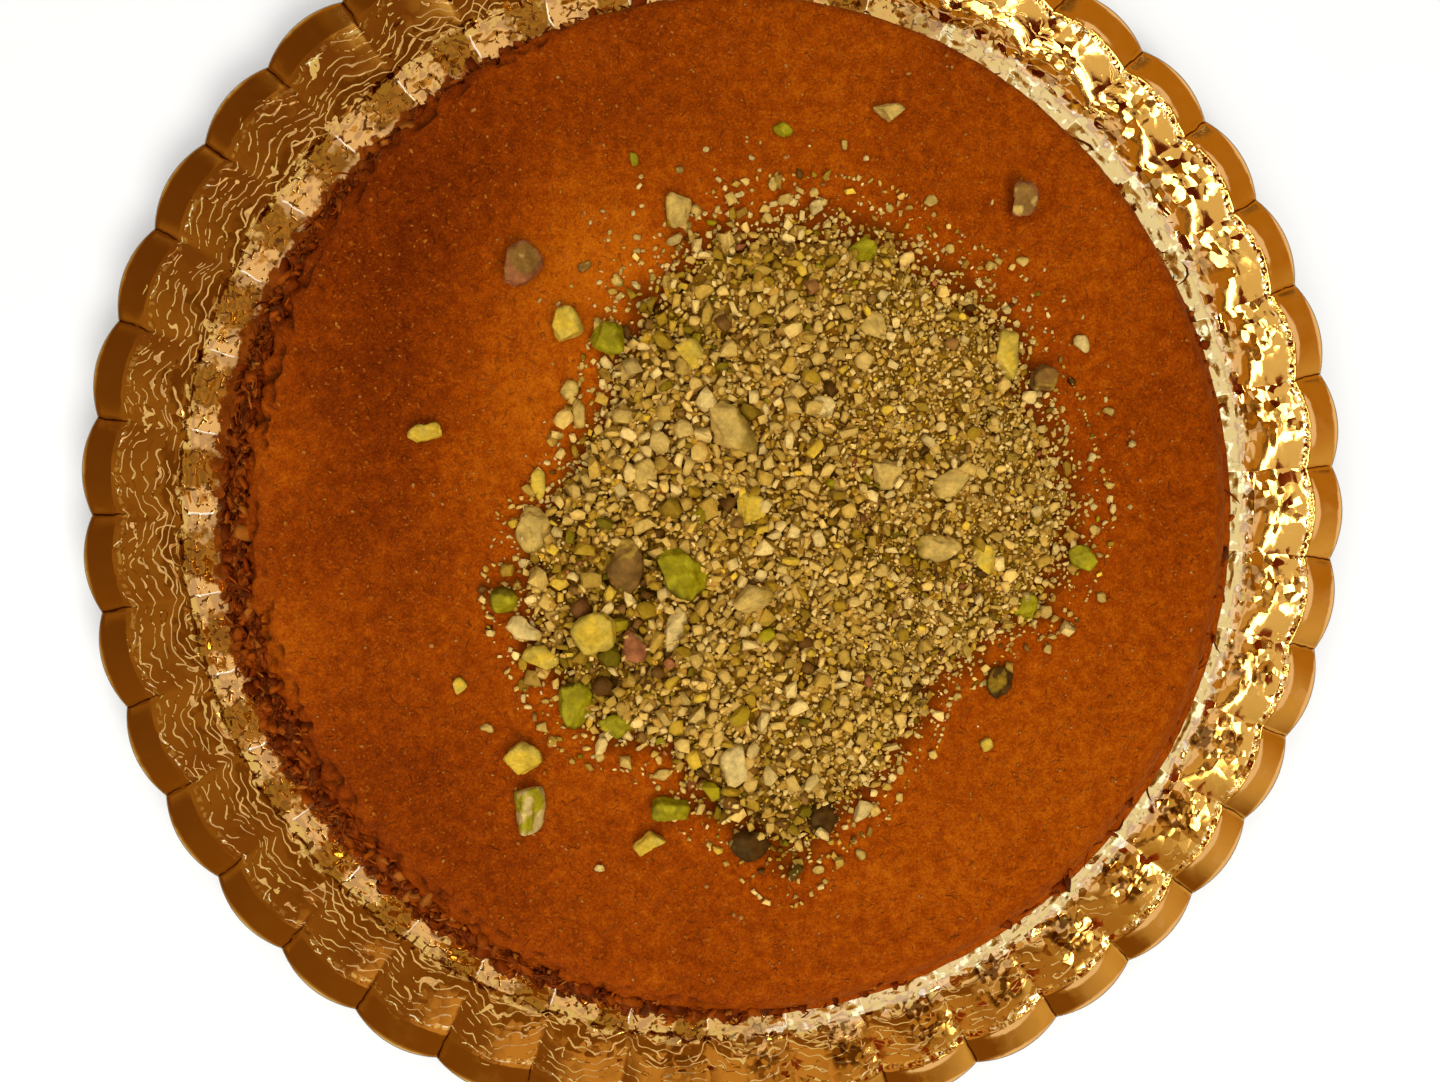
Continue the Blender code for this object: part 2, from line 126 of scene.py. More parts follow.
add_lamp("overhead_lamp", toward(180, 8, 1.5), 3.2, 1.27, (1.0, 0.995, 0.985))
add_lamp("soft_lamp", toward(-62, 34, 1.5), 0.7, 7.0, (1.0, 0.98, 0.94))
bpy.context.scene.view_settings.view_transform = "Standard"

# %% [markdown]
# ## Node helpers
#
# Every material is a chain of noise nodes on Object coordinates, so its grain
# stays on the piece. Colours are named as they look, from 0 to 255, and turned
# into the linear numbers that a renderer adds light to.

# %% Node helpers
# How much brighter than its own colour a matt surface looks under these lamps
LIGHT_GAIN = 1.36


def paint(red, green, blue):
    """Linear colour of a matt surface that looks like this sRGB colour under the lamps here."""
    shade = np.array((red, green, blue)) / 255
    linear = np.where(shade <= 0.04045, shade / 12.92, ((shade + 0.055) / 1.055) ** 2.4)
    return linear / LIGHT_GAIN


def new_material(name, roughness, metallic=0.0, specular=0.4, tint=(1.0, 1.0, 1.0)):
    """Material with its node tree and its Principled shader."""
    material = bpy.data.materials.new(name)
    material.use_nodes = True
    shader = material.node_tree.nodes["Principled BSDF"]
    shader.inputs["Roughness"].default_value = roughness
    shader.inputs["Metallic"].default_value = metallic
    shader.inputs["Specular IOR Level"].default_value = specular
    shader.inputs["Specular Tint"].default_value = (*tint, 1.0)
    return material, material.node_tree, shader


def add_node(tree, kind, inputs, **settings):
    """Node with its inputs linked where a socket is given, or set where a value is given."""
    made = tree.nodes.new(kind)
    for key, value in settings.items():
        setattr(made, key, value)
    for key, value in inputs.items():
        if isinstance(value, bpy.types.NodeSocket):
            tree.links.new(value, made.inputs[key])
        else:
            made.inputs[key].default_value = value
    return made


def object_places(tree):
    """Object coordinates."""
    return add_node(tree, "ShaderNodeTexCoord", {}).outputs["Object"]


def grain(tree, size, detail=2.0, roughness=0.5, distortion=0.0):
    """Noise of a size in metres on Object coordinates, from 0 to 1."""
    return add_node(tree, "ShaderNodeTexNoise", {
        "Vector": object_places(tree), "Scale": 1 / size, "Detail": detail,
        "Roughness": roughness, "Distortion": distortion}).outputs["Fac"]


def value_of(tree, name, output="Fac"):
    """Attribute of the mesh by its name: Fac for a number, Color for a colour."""
    return add_node(tree, "ShaderNodeAttribute", {}, attribute_name=name).outputs[output]


def maths(tree, operation, first, second=0.0):
    """One sum by its name; the second number is left out where the sum takes only one."""
    return add_node(tree, "ShaderNodeMath", {0: first, 1: second}, operation=operation).outputs[0]


def times(tree, first, *others):
    """Product of all the values."""
    for other in others:
        first = maths(tree, "MULTIPLY", first, other)
    return first


def plus(tree, first, *others):
    """Sum of all the values."""
    for other in others:
        first = maths(tree, "ADD", first, other)
    return first


def vectors(tree, operation, inputs, output="Vector"):
    """One sum of vectors by its name; Value is the output where the result is a number."""
    return add_node(tree, "ShaderNodeVectorMath", inputs, operation=operation).outputs[output]


def blend(tree, factor, first, second, way="MIX"):
    """Mix of two colours."""
    mix = add_node(tree, "ShaderNodeMix", {"Factor": factor}, data_type="RGBA", blend_type=way)
    for socket, value in ((mix.inputs[6], first), (mix.inputs[7], second)):
        if isinstance(value, bpy.types.NodeSocket):
            tree.links.new(value, socket)
        else:
            socket.default_value = (*value, 1.0)
    return mix.outputs[2]


def remap(tree, value, low, high, low_out=0.0, high_out=1.0):
    """Value from low to high carried to low_out to high_out, and kept between them."""
    return add_node(tree, "ShaderNodeMapRange", {
        "Value": value, "From Min": low, "From Max": high, "To Min": low_out, "To Max": high_out},
        clamp=True).outputs["Result"]


def color_ramp(tree, value, stops):
    """Colour read from stops of (position, colour) by a value from 0 to 1."""
    made = add_node(tree, "ShaderNodeValToRGB", {"Fac": value})
    band = made.color_ramp.elements
    while len(band) < len(stops):
        band.new(0.5)
    for element, (position, colour) in zip(band, stops):
        element.position = position
        element.color = (*colour, 1.0)
    return made.outputs["Color"]


def bump(tree, shader, height, depth, strength=1.0):
    """Bump of a depth in metres into a shader's normal."""
    made = add_node(tree, "ShaderNodeBump", {"Height": height, "Distance": depth, "Strength": strength})
    tree.links.new(made.outputs["Normal"], shader.inputs["Normal"])


print("crust colour, linear:", np.round(paint(150, 65, 6), 4).tolist())

# %% [markdown]
# A mirror needs something to show. A picture of a room could be wrapped round
# the scene, but the foil breaks everything up, so plain colours by direction are
# enough: the height of a ray picks the walls, the ring or the ceiling, and the
# side that it goes to picks the bright or the dim ones.

# %% Room that the foil mirrors
# Direction of the windows, and how high the strips lie: 0 is level and 1 is straight up
BRIGHT_SIDE = (-0.87, -0.5, 0.0)
WINDOW_STRIP = (0.595, 0.682)
DARK_STRIP = (0.705, 0.765)
# Heights at which the walls end, the ring changes, the ceiling begins and the part overhead begins
RING_LOW, RING_HIGH = (0.69, 0.73), (0.84, 0.865)
CEILING_LOW, OVERHEAD_LOW = (0.885, 0.90), (0.955, 0.975)
CAMERA_GREY = (0.88, 0.88, 0.87)
ROOM_LIGHT, WINDOW_LIGHT = 1.1, 12.0


def within(tree, value, low, high, soft=0.008):
    """1 while a value is from low to high, 0 outside, with a soft border."""
    return times(tree, remap(tree, value, low - soft, low), remap(tree, value, high + soft, high))


def wall_colours(tree, facing, from_south, east):
    """Walls: pale on the side of the windows, dim and warm on the right."""
    walls = color_ramp(tree, remap(tree, facing, -1, 1), (
        (0.15, (0.76, 0.47, 0.18)), (0.28, (0.68, 0.41, 0.14)), (0.42, (0.50, 0.29, 0.09)),
        (0.54, (0.55, 0.36, 0.12)), (0.65, (0.85, 0.75, 0.50)), (0.80, (1.0, 0.92, 0.72))))
    dim_walls = color_ramp(tree, from_south, (
        (0.2, (0.235, 0.10, 0.025)), (0.5, (0.37, 0.195, 0.045)), (0.8, (0.27, 0.118, 0.027))))
    return blend(tree, remap(tree, east, 0.25, 0.5), walls, dim_walls)


def ring_colours(tree, facing, from_south, east, north, height):
    """Ring over the walls that the tray's lip shows: amber, paler in the north, and dim on the right."""
    ring = blend(tree, remap(tree, north, -0.1, 0.45), (0.56, 0.28, 0.03), (0.95, 0.76, 0.42))
    dim_ring = color_ramp(tree, from_south, (
        (0.25, (0.17, 0.07, 0.012)), (0.5, (0.20, 0.085, 0.015)), (0.75, (0.26, 0.112, 0.016))))
    dim_ring = blend(tree, remap(tree, height, *RING_HIGH), dim_ring, (0.46, 0.28, 0.08))
    dim = maths(tree, "MAXIMUM", remap(tree, east, 0.0, 0.3), remap(tree, facing, 0.25, -0.1))
    return blend(tree, dim, ring, dim_ring)


def ceiling_colours(tree, east, height):
    """Ceiling: slightly violet on the left, and dimmer straight overhead there."""
    ceiling = blend(tree, remap(tree, east, 0.0, 0.3), (1.13, 1.06, 1.36), (1.0, 1.12, 1.25))
    overhead = blend(tree, remap(tree, east, 0.0, 0.12), (0.76, 0.70, 1.0), (1.0, 1.08, 1.0))
    return blend(tree, remap(tree, height, *OVERHEAD_LOW), ceiling, overhead)


def add_room():
    """Sky seen by mirrors, by height: walls, the ring, the ceiling, with the two strips laid over them."""
    world = bpy.data.worlds.new("room")
    bpy.context.scene.world = world
    world.use_nodes = True
    world.cycles_visibility.diffuse = False
    tree = world.node_tree
    direction = add_node(tree, "ShaderNodeTexCoord", {}).outputs["Generated"]
    facing = vectors(tree, "DOT_PRODUCT", {0: direction, 1: BRIGHT_SIDE}, "Value")
    apart = add_node(tree, "ShaderNodeSeparateXYZ", {"Vector": direction}).outputs
    east, north, height = apart["X"], apart["Y"], apart["Z"]
    from_south = remap(tree, north, -1, 1)
    walls = wall_colours(tree, facing, from_south, east)
    ring = ring_colours(tree, facing, from_south, east, north, height)
    colour = blend(tree, remap(tree, height, *RING_LOW), walls, ring)
    shade = times(tree, within(tree, height, *DARK_STRIP), remap(tree, facing, 0.0, 0.1))
    colour = blend(tree, shade, colour, (0.22, 0.11, 0.025))
    colour = blend(tree, remap(tree, height, *CEILING_LOW), colour, ceiling_colours(tree, east, height))
    windows = times(tree, within(tree, height, *WINDOW_STRIP), remap(tree, facing, 0.22, 0.36))
    colour = blend(tree, windows, colour, (1.0, 0.98, 0.93))
    looked_at = add_node(tree, "ShaderNodeLightPath", {}).outputs["Is Camera Ray"]
    bright = times(tree, windows, maths(tree, "SUBTRACT", 1.0, looked_at))
    sky = tree.nodes["Background"]
    tree.links.new(blend(tree, looked_at, colour, CAMERA_GREY), sky.inputs["Color"])
    tree.links.new(remap(tree, bright, 0.0, 1.0, ROOM_LIGHT, WINDOW_LIGHT), sky.inputs["Strength"])


add_room()
print("room ready")

# %% [markdown]
# ## Helpers for meshes
#
# Everything here is a grid of points worked out at once as whole arrays. One
# helper makes a mesh from arrays of points and faces, and another closes a stack
# of rings with a point at each end, which covers tray, round and nuts.

# %% Meshes from arrays
def make_piece(name, points, faces, materials, nodes):
    """Object from an array of points and arrays of faces, riding on the solid model."""
    mesh = bpy.data.meshes.new(name)
    corners = np.concatenate([np.asarray(group).ravel() for group in faces])
    sizes = np.concatenate([np.full(len(group), np.shape(group)[1]) for group in faces])
    mesh.vertices.add(len(points))
    mesh.vertices.foreach_set("co", np.ascontiguousarray(points, np.float32).ravel())
    mesh.loops.add(len(corners))
    mesh.loops.foreach_set("vertex_index", corners.astype(np.int32))
    mesh.polygons.add(len(sizes))
    mesh.polygons.foreach_set("loop_start", (np.cumsum(sizes) - sizes).astype(np.int32))
    mesh.update(calc_edges=True)
    mesh.polygons.foreach_set("use_smooth", np.ones(len(sizes), bool))
    for material in materials:
        mesh.materials.append(material)
    piece = bpy.data.objects.new(name, mesh)
    bpy.context.scene.collection.objects.link(piece)
    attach(piece, "root")
    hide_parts(*nodes)
    return piece


def ring_faces(rows, steps):
    """Squares between rows of points that go round anticlockwise and climb: each joins a step to the next."""
    row, step = np.mgrid[0:rows - 1, 0:steps]
    low = row * steps + step
    after = row * steps + (step + 1) % steps
    return np.stack((low, after, after + steps, low + steps), -1).reshape(-1, 4)


def fan_faces(hub, ring, turned):
    """Triangles from one middle point to a ring of points, turned over for the lower end."""
    after = np.roll(ring, -1)
    hubs = np.full(len(ring), hub)
    return np.stack((hubs, after, ring) if turned else (hubs, ring, after), -1)


def stack_faces(rows, steps):
    """Squares between rings, and triangles to the two end points that follow them."""
    count = rows * steps
    low_fan = fan_faces(count, np.arange(steps), True)
    high_fan = fan_faces(count + 1, np.arange(count - steps, count), False)
    return [ring_faces(rows, steps), np.vstack((low_fan, high_fan))]


def closed_stack(rings, low_hub, high_hub):
    """Points and faces of a closed body: rings (rows, steps, 3) with a point at each end."""
    return np.vstack((rings.reshape(-1, 3), low_hub, high_hub)), stack_faces(*rings.shape[:2])


def add_colours(piece, colours):
    """Colour attribute 'tone' from one linear colour for each point."""
    layer = piece.data.color_attributes.new("tone", "FLOAT_COLOR", "POINT")
    rgba = np.column_stack((colours, np.ones(len(colours))))
    layer.data.foreach_set("color", rgba.astype(np.float32).ravel())


def add_values(piece, name, values):
    """Named attribute with one number for each point."""
    layer = piece.data.attributes.new(name, "FLOAT", "POINT")
    layer.data.foreach_set("value", np.asarray(values, np.float32).ravel())


def triangles_of(piece):
    """Number of triangles of a piece: corners of each face less two."""
    return sum(len(face.vertices) - 2 for face in piece.data.polygons)


print("mesh helpers ready")

# %% [markdown]
# ## Noise
#
# Food and crumpled foil are never regular. Smooth noise gives each corner of an
# unseen lattice a random slope and eases the slopes into each other. Its
# numbers come from the places alone, so the same place always gets the same
# bump, and no seed has to be carried around.

# %% Noise from places
def shuffle(i, j, k, seed):
    """Whole numbers in, a scrambled 32-bit number out: multiply, mix the high bits down, repeat."""
    mixed = (i.astype(np.int64) * 73856093) ^ (j.astype(np.int64) * 19349663)
    mixed = (mixed ^ (k.astype(np.int64) * 83492791) ^ (seed * 2654435761)) & 0xFFFFFFFF
    for _ in range(2):
        mixed = ((mixed ^ (mixed >> 15)) * 2246822519) & 0xFFFFFFFF
        mixed = ((mixed ^ (mixed >> 13)) * 3266489917) & 0xFFFFFFFF
    return mixed ^ (mixed >> 16)


def ease(share):
    """Rises from 0 to 1 with flat ends: 3t^2 - 2t^3 of a share kept between 0 and 1."""
    share = np.clip(share, 0.0, 1.0)
    return share * share * (3 - 2 * share)


def rise(value, low, high):
    """0 below low, 1 above high, eased between."""
    return ease((value - low) / (high - low))


def swell(points, size, seed):
    """Smooth noise from about -1 to 1 at points (..., 3), its bumps about one size wide."""
    scaled = np.asarray(points) / size
    cell = np.floor(scaled).astype(np.int64)
    inside = scaled - cell
    weight = ease(inside)
    total = np.zeros(scaled.shape[:-1])
    for corner in np.ndindex(2, 2, 2):
        code = shuffle(*(cell[..., axis] + corner[axis] for axis in range(3)), seed)
        slopes = [((code >> shift) & 1023) / 511.5 - 1 for shift in (0, 10, 20)]
        lift = sum(slope * (inside[..., axis] - corner[axis]) for axis, slope in enumerate(slopes))
        near = [weight[..., axis] if corner[axis] else 1 - weight[..., axis] for axis in range(3)]
        total += lift * near[0] * near[1] * near[2]
    return total * 1.6


def cells(points, size, seed):
    """Cell noise: distance to the nearest and to the second random point in sizes, its offset and number."""
    scaled = np.asarray(points) / size
    cell = np.floor(scaled).astype(np.int64)
    first = np.full(scaled.shape[:-1], 9.0)
    second = first.copy()
    offset = np.zeros_like(scaled)
    number = np.zeros_like(first)
    for corner in np.ndindex(3, 3, 3):
        place = [cell[..., axis] + corner[axis] - 1 for axis in range(3)]
        code = shuffle(*place, seed)
        gaps = [scaled[..., axis] - place[axis] - ((code >> (10 * axis)) & 1023) / 1023 for axis in range(3)]
        gaps = np.stack(gaps, -1)
        away = np.linalg.norm(gaps, axis=-1)
        nearer = away < first
        second = np.where(nearer, first, np.minimum(second, away))
        offset = np.where(nearer[..., None], gaps, offset)
        number = np.where(nearer, (code >> 7 & 4095) / 4095, number)
        first = np.where(nearer, away, first)
    return first, second, offset, number


def tilted_facets(points, size, seed, tilt):
    """Height of flat facets: each cell's plane leans by its own tilt, and sinks to a groove at its edges."""
    near, far, offset, number = cells(points, size, seed)
    lean = tilt * (0.4 + 0.6 * (number * 7 % 1.0))
    plane = lean * (offset[..., 0] * np.cos(TAU * number) + offset[..., 1] * np.sin(TAU * number))
    return size * (plane + 0.02) * ease((far - near) / 0.22)


def from_centre(centre, reach, angle):
    """X and Y at a reach and an angle from a centre: centre + reach (cos, sin)."""
    return centre[0] + reach * np.cos(angle), centre[1] + reach * np.sin(angle)


def flat_points(x, y):
    """Points at height 0 for noise over a plane."""
    return np.stack((x, y, np.zeros_like(x)), -1)


two_places = np.array(((0.011, 0.02, 0.03), (0.04, 0.013, 0.0)))
print("noise at two places:", np.round(swell(two_places, 5 * MM, 1), 3))

# %% [markdown]
# ## The table
#
# A pale floor, large enough to fill the picture. It isn't part of the object.

# %% Floor
def add_floor():
    """Flat pale square under the tray, with a faint mottle."""
    material, tree, shader = new_material("pale_floor", 0.9, specular=0.0)
    tone = blend(tree, grain(tree, 40 * MM), (0.95, 0.95, 0.95), (0.97, 0.97, 0.965))
    tree.links.new(tone, shader.inputs["Base Color"])
    mesh = bpy.data.meshes.new("floor")
    reach, below = 3.0, -0.02 * MM
    mesh.from_pydata([(-reach, -reach, below), (reach, -reach, below), (reach, reach, below),
                      (-reach, reach, below)], [], [(0, 1, 2, 3)])
    mesh.materials.append(material)
    floor = bpy.data.objects.new("floor", mesh)
    bpy.context.scene.collection.objects.link(floor)


add_floor()
print("floor laid")

# %% [markdown]
# ## The gold tray
#
# The real tray is card laminated with embossed gold film and pressed into 41
# flutes that end in scallops. It could be a flat profile with a fluted normal
# map, but foil shows its shape through what it mirrors, so the form has to be
# in the mesh: each flute is a shallow trough between sharp creases, and the
# film has broken facets and a crumpled band at the edge of the floor. One
# profile is carried round the circle on a fine grid, the relief is added along
# the surface's own normal, and the card's back closes the body.

# %% Tray profile
FLUTES = 41
TRAY_STEPS = FLUTES * 24
CARD = 0.9 * MM
LIP_RADIUS = 155.0 * MM
# Profile at the notches from the middle outwards, and how far the middle of a flute bulges out of it
PROFILE_RADII = np.array((0.0, 136.5, 138.0, 144.0, 150.0, 155.0, 160.0)) * MM
PROFILE_HEIGHTS = np.array((0.9, 0.9, 1.2, 5.88, 11.3, 14.3, 17.3)) * MM
PROFILE_BULGES = np.array((0.0, 0.0, 0.0, 1.4, 2.0, 2.6, 3.2)) * MM
# Radii of the mesh's rows at the notches, closest on the slope and its brim
TRAY_ROWS = np.concatenate((
    np.array((30.0, 80.0, 112.0)) * MM,
    np.arange(120.0, 133.0, 1.0) * MM,
    np.append(np.arange(133.0, 138.0, 0.5), 137.8) * MM,
    np.append(np.arange(138.0, 150.1, 0.25), 150.2) * MM,
    np.arange(151.0, 155.01, 0.8) * MM))


def across_flute(angle):
    """Place across a flute, from -1 at one crease to 1 at the next."""
    return 2 * ((angle * FLUTES / TAU + 0.5) % 1.0) - 1


def scallop(angle):
    """1 in the middle of a flute and 0 at its creases, as a parabola: 1 - u^2 of the place across it."""
    return 1 - across_flute(angle) ** 2


def soften(values, passes):
    """Average each value with its neighbours, a few times, to round a profile's corners."""
    for _ in range(passes):
        padded = np.concatenate((values[:1], values, values[-1:]))
        values = (padded[:-2] + 2 * values + padded[2:]) / 4
    return values


even_radii = np.arange(0.0, 160.0, 0.25) * MM
row_height, row_bulge = (
    np.interp(TRAY_ROWS, even_radii, soften(np.interp(even_radii, PROFILE_RADII, values), 1))
    for values in (PROFILE_HEIGHTS, PROFILE_BULGES))
print("tray rows:", len(TRAY_ROWS), "steps:", TRAY_STEPS)

# %% [markdown]
# The embossed lines run round the tray and wave. They could be ridges of the
# mesh, but they are a quarter of a millimetre wide, and that would take millions
# of faces. So each point of the mesh gets a running count of lines instead, and
# the material draws a line wherever the count is halfway between two numbers.

# %% Numbers for the embossed lines
LINE_SPACING = 1.75 * MM


def broken(angle):
    """How broken up the film is: most on the right, where the press bit hardest, and little on the left."""
    return 0.15 + 0.85 * rise(np.cos(angle + math.radians(10)), -0.2, 0.5)


def line_paths(places, radius, angle):
    """Two families of embossed lines: how many spacings out each point is, and where each family shows.

    A family's count is (radius - a share of the scallop + a wander) / spacing, so its lines run along
    the scallops and wave. It shows where a swell is high, on the slope alone, and less on the far right.
    """
    middle = scallop(angle)
    fade = rise(np.cos(angle), 0.45, 0.95)
    wander = 1.8 * MM * swell(places, 9 * MM, 3) + 1.1 * MM * swell(places, 3.0 * MM, 4)
    first = (radius - 1.7 * MM * middle + wander) / LINE_SPACING
    first_shown = rise(swell(places, 5 * MM, 5) - fade, -0.36, -0.26)
    wander = 3.4 * MM * swell(places, 6 * MM, 6) + 0.8 * MM * swell(places, 2.6 * MM, 8)
    second = (radius - 0.6 * MM * middle + wander) / (1.3 * LINE_SPACING)
    second_shown = rise(swell(places, 5.5 * MM, 7) - fade, 0.06, 0.14)
    edge = 149.3 * MM + 0.8 * MM * swell(places, 4 * MM, 9)
    shown = rise(radius, 138.0 * MM, 139.0 * MM) * (1 - rise(radius, edge, edge + 0.5 * MM))
    return first, second, first_shown * shown, second_shown * shown


print("embossed line every, mm:", round(LINE_SPACING / MM, 2))

# %% [markdown]
# Facets of two or three millimetres are large enough for the mesh. Each is a
# cell of a random pattern, and its plane leans its own way, which is how thin
# foil crumples: flat pieces between sharp folds, with no round bumps.

# %% Relief of the foil
FLOOR_EDGE, SLOPE_TOP = 138.0 * MM, 150.0 * MM
# Size of a facet on the slope and in the crumpled band, and how steeply they lean
FACET, CRUMPLE = 3.6 * MM, 2.7 * MM
FACET_TILT, CRUMPLE_TILT = 0.08, 0.24


def foil_relief(places, radius, angle):
    """Height of the pressed film: shallow facets on the slope, crumpled ones in each flute near the floor."""
    middle = scallop(angle)
    on_slope = rise(radius, 136.5 * MM, 139 * MM) * (1 - rise(radius, 149.5 * MM, 151 * MM))
    on_band = rise(radius, 129 * MM, 131 * MM) * (1 - rise(radius, 138 * MM, 140 * MM))
    crumple = tilted_facets(places, CRUMPLE, 10, CRUMPLE_TILT) * rise(middle, 0.15, 0.7)
    flats = tilted_facets(places, FACET, 14, FACET_TILT)
    soft = 0.05 * MM * swell(places, 3.8 * MM, 12)
    rough = broken(angle) * (0.15 + 0.35 * rise(across_flute(angle), -0.6, 0.1))
    smoothed = 1 - 0.55 * broken(angle)
    return on_slope * (flats * rough + soft) + on_band * (crumple + flats + soft) * smoothed


def crease_line(radius, angle):
    """1 on the pressed crease that runs in from each notch over the edge of the floor, 0 elsewhere."""
    notch = np.clip(1 - 2.2 * scallop(angle), 0, 1)
    return notch * rise(radius, 129.5 * MM, 131 * MM) * (1 - rise(radius, 136.5 * MM, 138 * MM))


print("facets across the slope:", round((SLOPE_TOP - FLOOR_EDGE) / FACET, 1))


# %% Rings of the tray, from the floor to the lip and back under the card
# Height of the crease in each notch, and the radius inside which the foil is left flat
CREASE_HEIGHT = 0.16 * MM
FLAT_RADIUS = 127 * MM
# The cut edge in mm: how far out of the lip and how far down, round and back in under it
EDGE_STEPS = ((0.06, 0.02), (0.22, 0.0), (0.28, -0.30), (0.24, -CARD / MM + 0.1), (0.0, -CARD / MM))
BACK_RADII = np.array((154.4, 149.8, 143.4, 137.4, 135.5, 100.0, 40.0)) * MM


def ring_at(radius, height, angle):
    """Points at radii and heights round the angles: (radius cos, radius sin, height)."""
    return np.stack(np.broadcast_arrays(radius * np.cos(angle), radius * np.sin(angle), height), -1)


def film_rings(angle):
    """Rings of the film from the floor to the lip, moved by the relief along the profile's own normal."""
    rows = np.repeat(TRAY_ROWS[:, None], TRAY_STEPS, 1)
    radius = rows + row_bulge[:, None] * scallop(angle)
    height = np.repeat(row_height[:, None], TRAY_STEPS, 1)
    run, climb = np.gradient(TRAY_ROWS), np.gradient(row_height)
    length = np.hypot(run, climb)
    lean_in, lean_up = -climb / length, run / length
    angles = np.repeat(angle[None], len(TRAY_ROWS), 0)
    crease = crease_line(rows, angles)
    lift = foil_relief(ring_at(radius, height, angle), rows, angles) * (1 - crease) + CREASE_HEIGHT * crease
    lift[TRAY_ROWS < FLAT_RADIUS] = 0
    return ring_at(radius + lift * lean_in[:, None], height + lift * lean_up[:, None], angle)


def card_rings(angle):
    """Rings round the cut edge and back under the card, one card's thickness below the film."""
    lip = LIP_RADIUS + PROFILE_BULGES[-2] * scallop(angle)
    edge = [ring_at(lip + out * MM, PROFILE_HEIGHTS[-2] + down * MM, angle) for out, down in EDGE_STEPS]
    lows = np.interp(BACK_RADII + 0.6 * MM, PROFILE_RADII, PROFILE_HEIGHTS) - CARD
    bulges = np.interp(BACK_RADII, PROFILE_RADII, PROFILE_BULGES)
    back = [ring_at(radius + bulge * scallop(angle), max(low, 0.0), angle)
            for radius, low, bulge in zip(BACK_RADII, lows, bulges)]
    return edge + back


def tray_rings():
    """All rings of the tray: the film, then the edge and the back."""
    angle = np.arange(TRAY_STEPS) * TAU / TRAY_STEPS
    return np.concatenate((film_rings(angle), np.array(card_rings(angle))))


print("rings of film:", len(TRAY_ROWS), "rings of card:", len(EDGE_STEPS) + len(BACK_RADII))

# %% [markdown]
# The gold film is a metal: its colour tints what it mirrors, and a little
# roughness softens it. Marks much finer than the mesh could be an image, but
# they have to follow the flutes, so they are worked out from where a point
# lies: its radius, the row of its flute, and its place across the flute.

# %% Places on the foil
# Zones of the foil in metres from the middle: the crumpled edge of the floor, and the slope by its rows
FLOOR_BAND = (0.1300, 0.1385)
SLOPE_ROWS = (0.1390, 0.1495)


def flat_from(tree, centre):
    """Place seen from a point, flat on the table, and its distance from that point."""
    shifted = vectors(tree, "SUBTRACT", {0: object_places(tree), 1: centre})
    flat = vectors(tree, "MULTIPLY", {0: shifted, 1: (1.0, 1.0, 0.0)})
    return flat, vectors(tree, "LENGTH", {0: flat}, "Value")


def flute_phase(tree):
    """-1 to 1 across each flute: the angle in flutes from a notch, doubled, less 1, with a slight waver."""
    place = add_node(tree, "ShaderNodeSeparateXYZ", {"Vector": object_places(tree)}).outputs
    angle = maths(tree, "ARCTAN2", place["Y"], place["X"])
    waver = remap(tree, grain(tree, 4 * MM), 0.0, 1.0, 0.46, 0.54)
    share = maths(tree, "FRACT", plus(tree, times(tree, angle, FLUTES / TAU), waver))
    return maths(tree, "SUBTRACT", times(tree, share, 2.0), 1.0)


def foil_places(tree):
    """Where a point of the foil is: radius, row, phase across its flute, how far north, how broken up."""
    flat, radius = flat_from(tree, (0.0, 0.0, 0.0))
    row, broken_up, phase = value_of(tree, "row"), value_of(tree, "broken"), flute_phase(tree)
    north = add_node(tree, "ShaderNodeSeparateXYZ", {"Vector": flat}).outputs["Y"]
    return {
        "flat": flat, "radius": radius, "row": row, "phase": phase, "broken": broken_up,
        "to_notch": maths(tree, "SUBTRACT", 1.0, maths(tree, "ABSOLUTE", phase)),
        "north": maths(tree, "DIVIDE", north, radius),
        "band": within(tree, radius, *FLOOR_BAND, MM),
        "brim": times(tree, within(tree, row, 0.1488, 0.1496, 0.0002), broken_up),
    }


print("crumpled band, mm from the middle:", [round(edge / MM, 1) for edge in FLOOR_BAND])

# %% [markdown]
# Pressing, wear and painted light mark the film. Each mark is a share from 0 to 1 made
# of a zone, a place across the flute and noise that tears its border, and the
# marks are laid over the gold in turn. The painted ones stand in for what the foil mirrors: the crust's
# reflection and shadow next to the food, dark reflections in the band and on one half of each flute, shade in
# cracks and folds, and pale glints.

# %% Marks on the foil
# Painted reflection and shadow of the crust on the foil next to the food
CRUST_REFLECTION_CENTRE = (-0.5 * MM, -1.5 * MM, 0.0)
# Painted dark reflection laid over the crumpled patch of the band
BAND_DARK_REFLECTION = (0.27, 0.10, 0.005)
# Painted shade in the film's cracks and folds
CRACK_SHADE = (0.13, 0.045, 0.007)
# Painted dark reflection on one half of each flute of the slope
DARK_REFLECTION = (0.13, 0.045, 0.005)
# Pale film, partly worn, that is painted where the foil glints
WORN_AND_GLINT = (0.98, 0.84, 0.46)


def leaning(tree, direction, amount):
    """Vector of a direction times an amount."""
    return vectors(tree, "SCALE", {0: direction, "Scale": amount})


def cell_pattern(tree, size, output, **settings):
    """Cell pattern of a size in metres on Object coordinates that a little noise has bent."""
    bent = add_node(tree, "ShaderNodeTexNoise", {
        "Vector": object_places(tree), "Scale": 1 / (1.5 * size), "Detail": 1.0}).outputs["Color"]
    place = vectors(tree, "ADD", {0: object_places(tree), 1: leaning(tree, bent, 0.5 * size)})
    made = add_node(tree, "ShaderNodeTexVoronoi", {"Vector": place, "Scale": 1 / size}, **settings)
    return made.outputs[output]


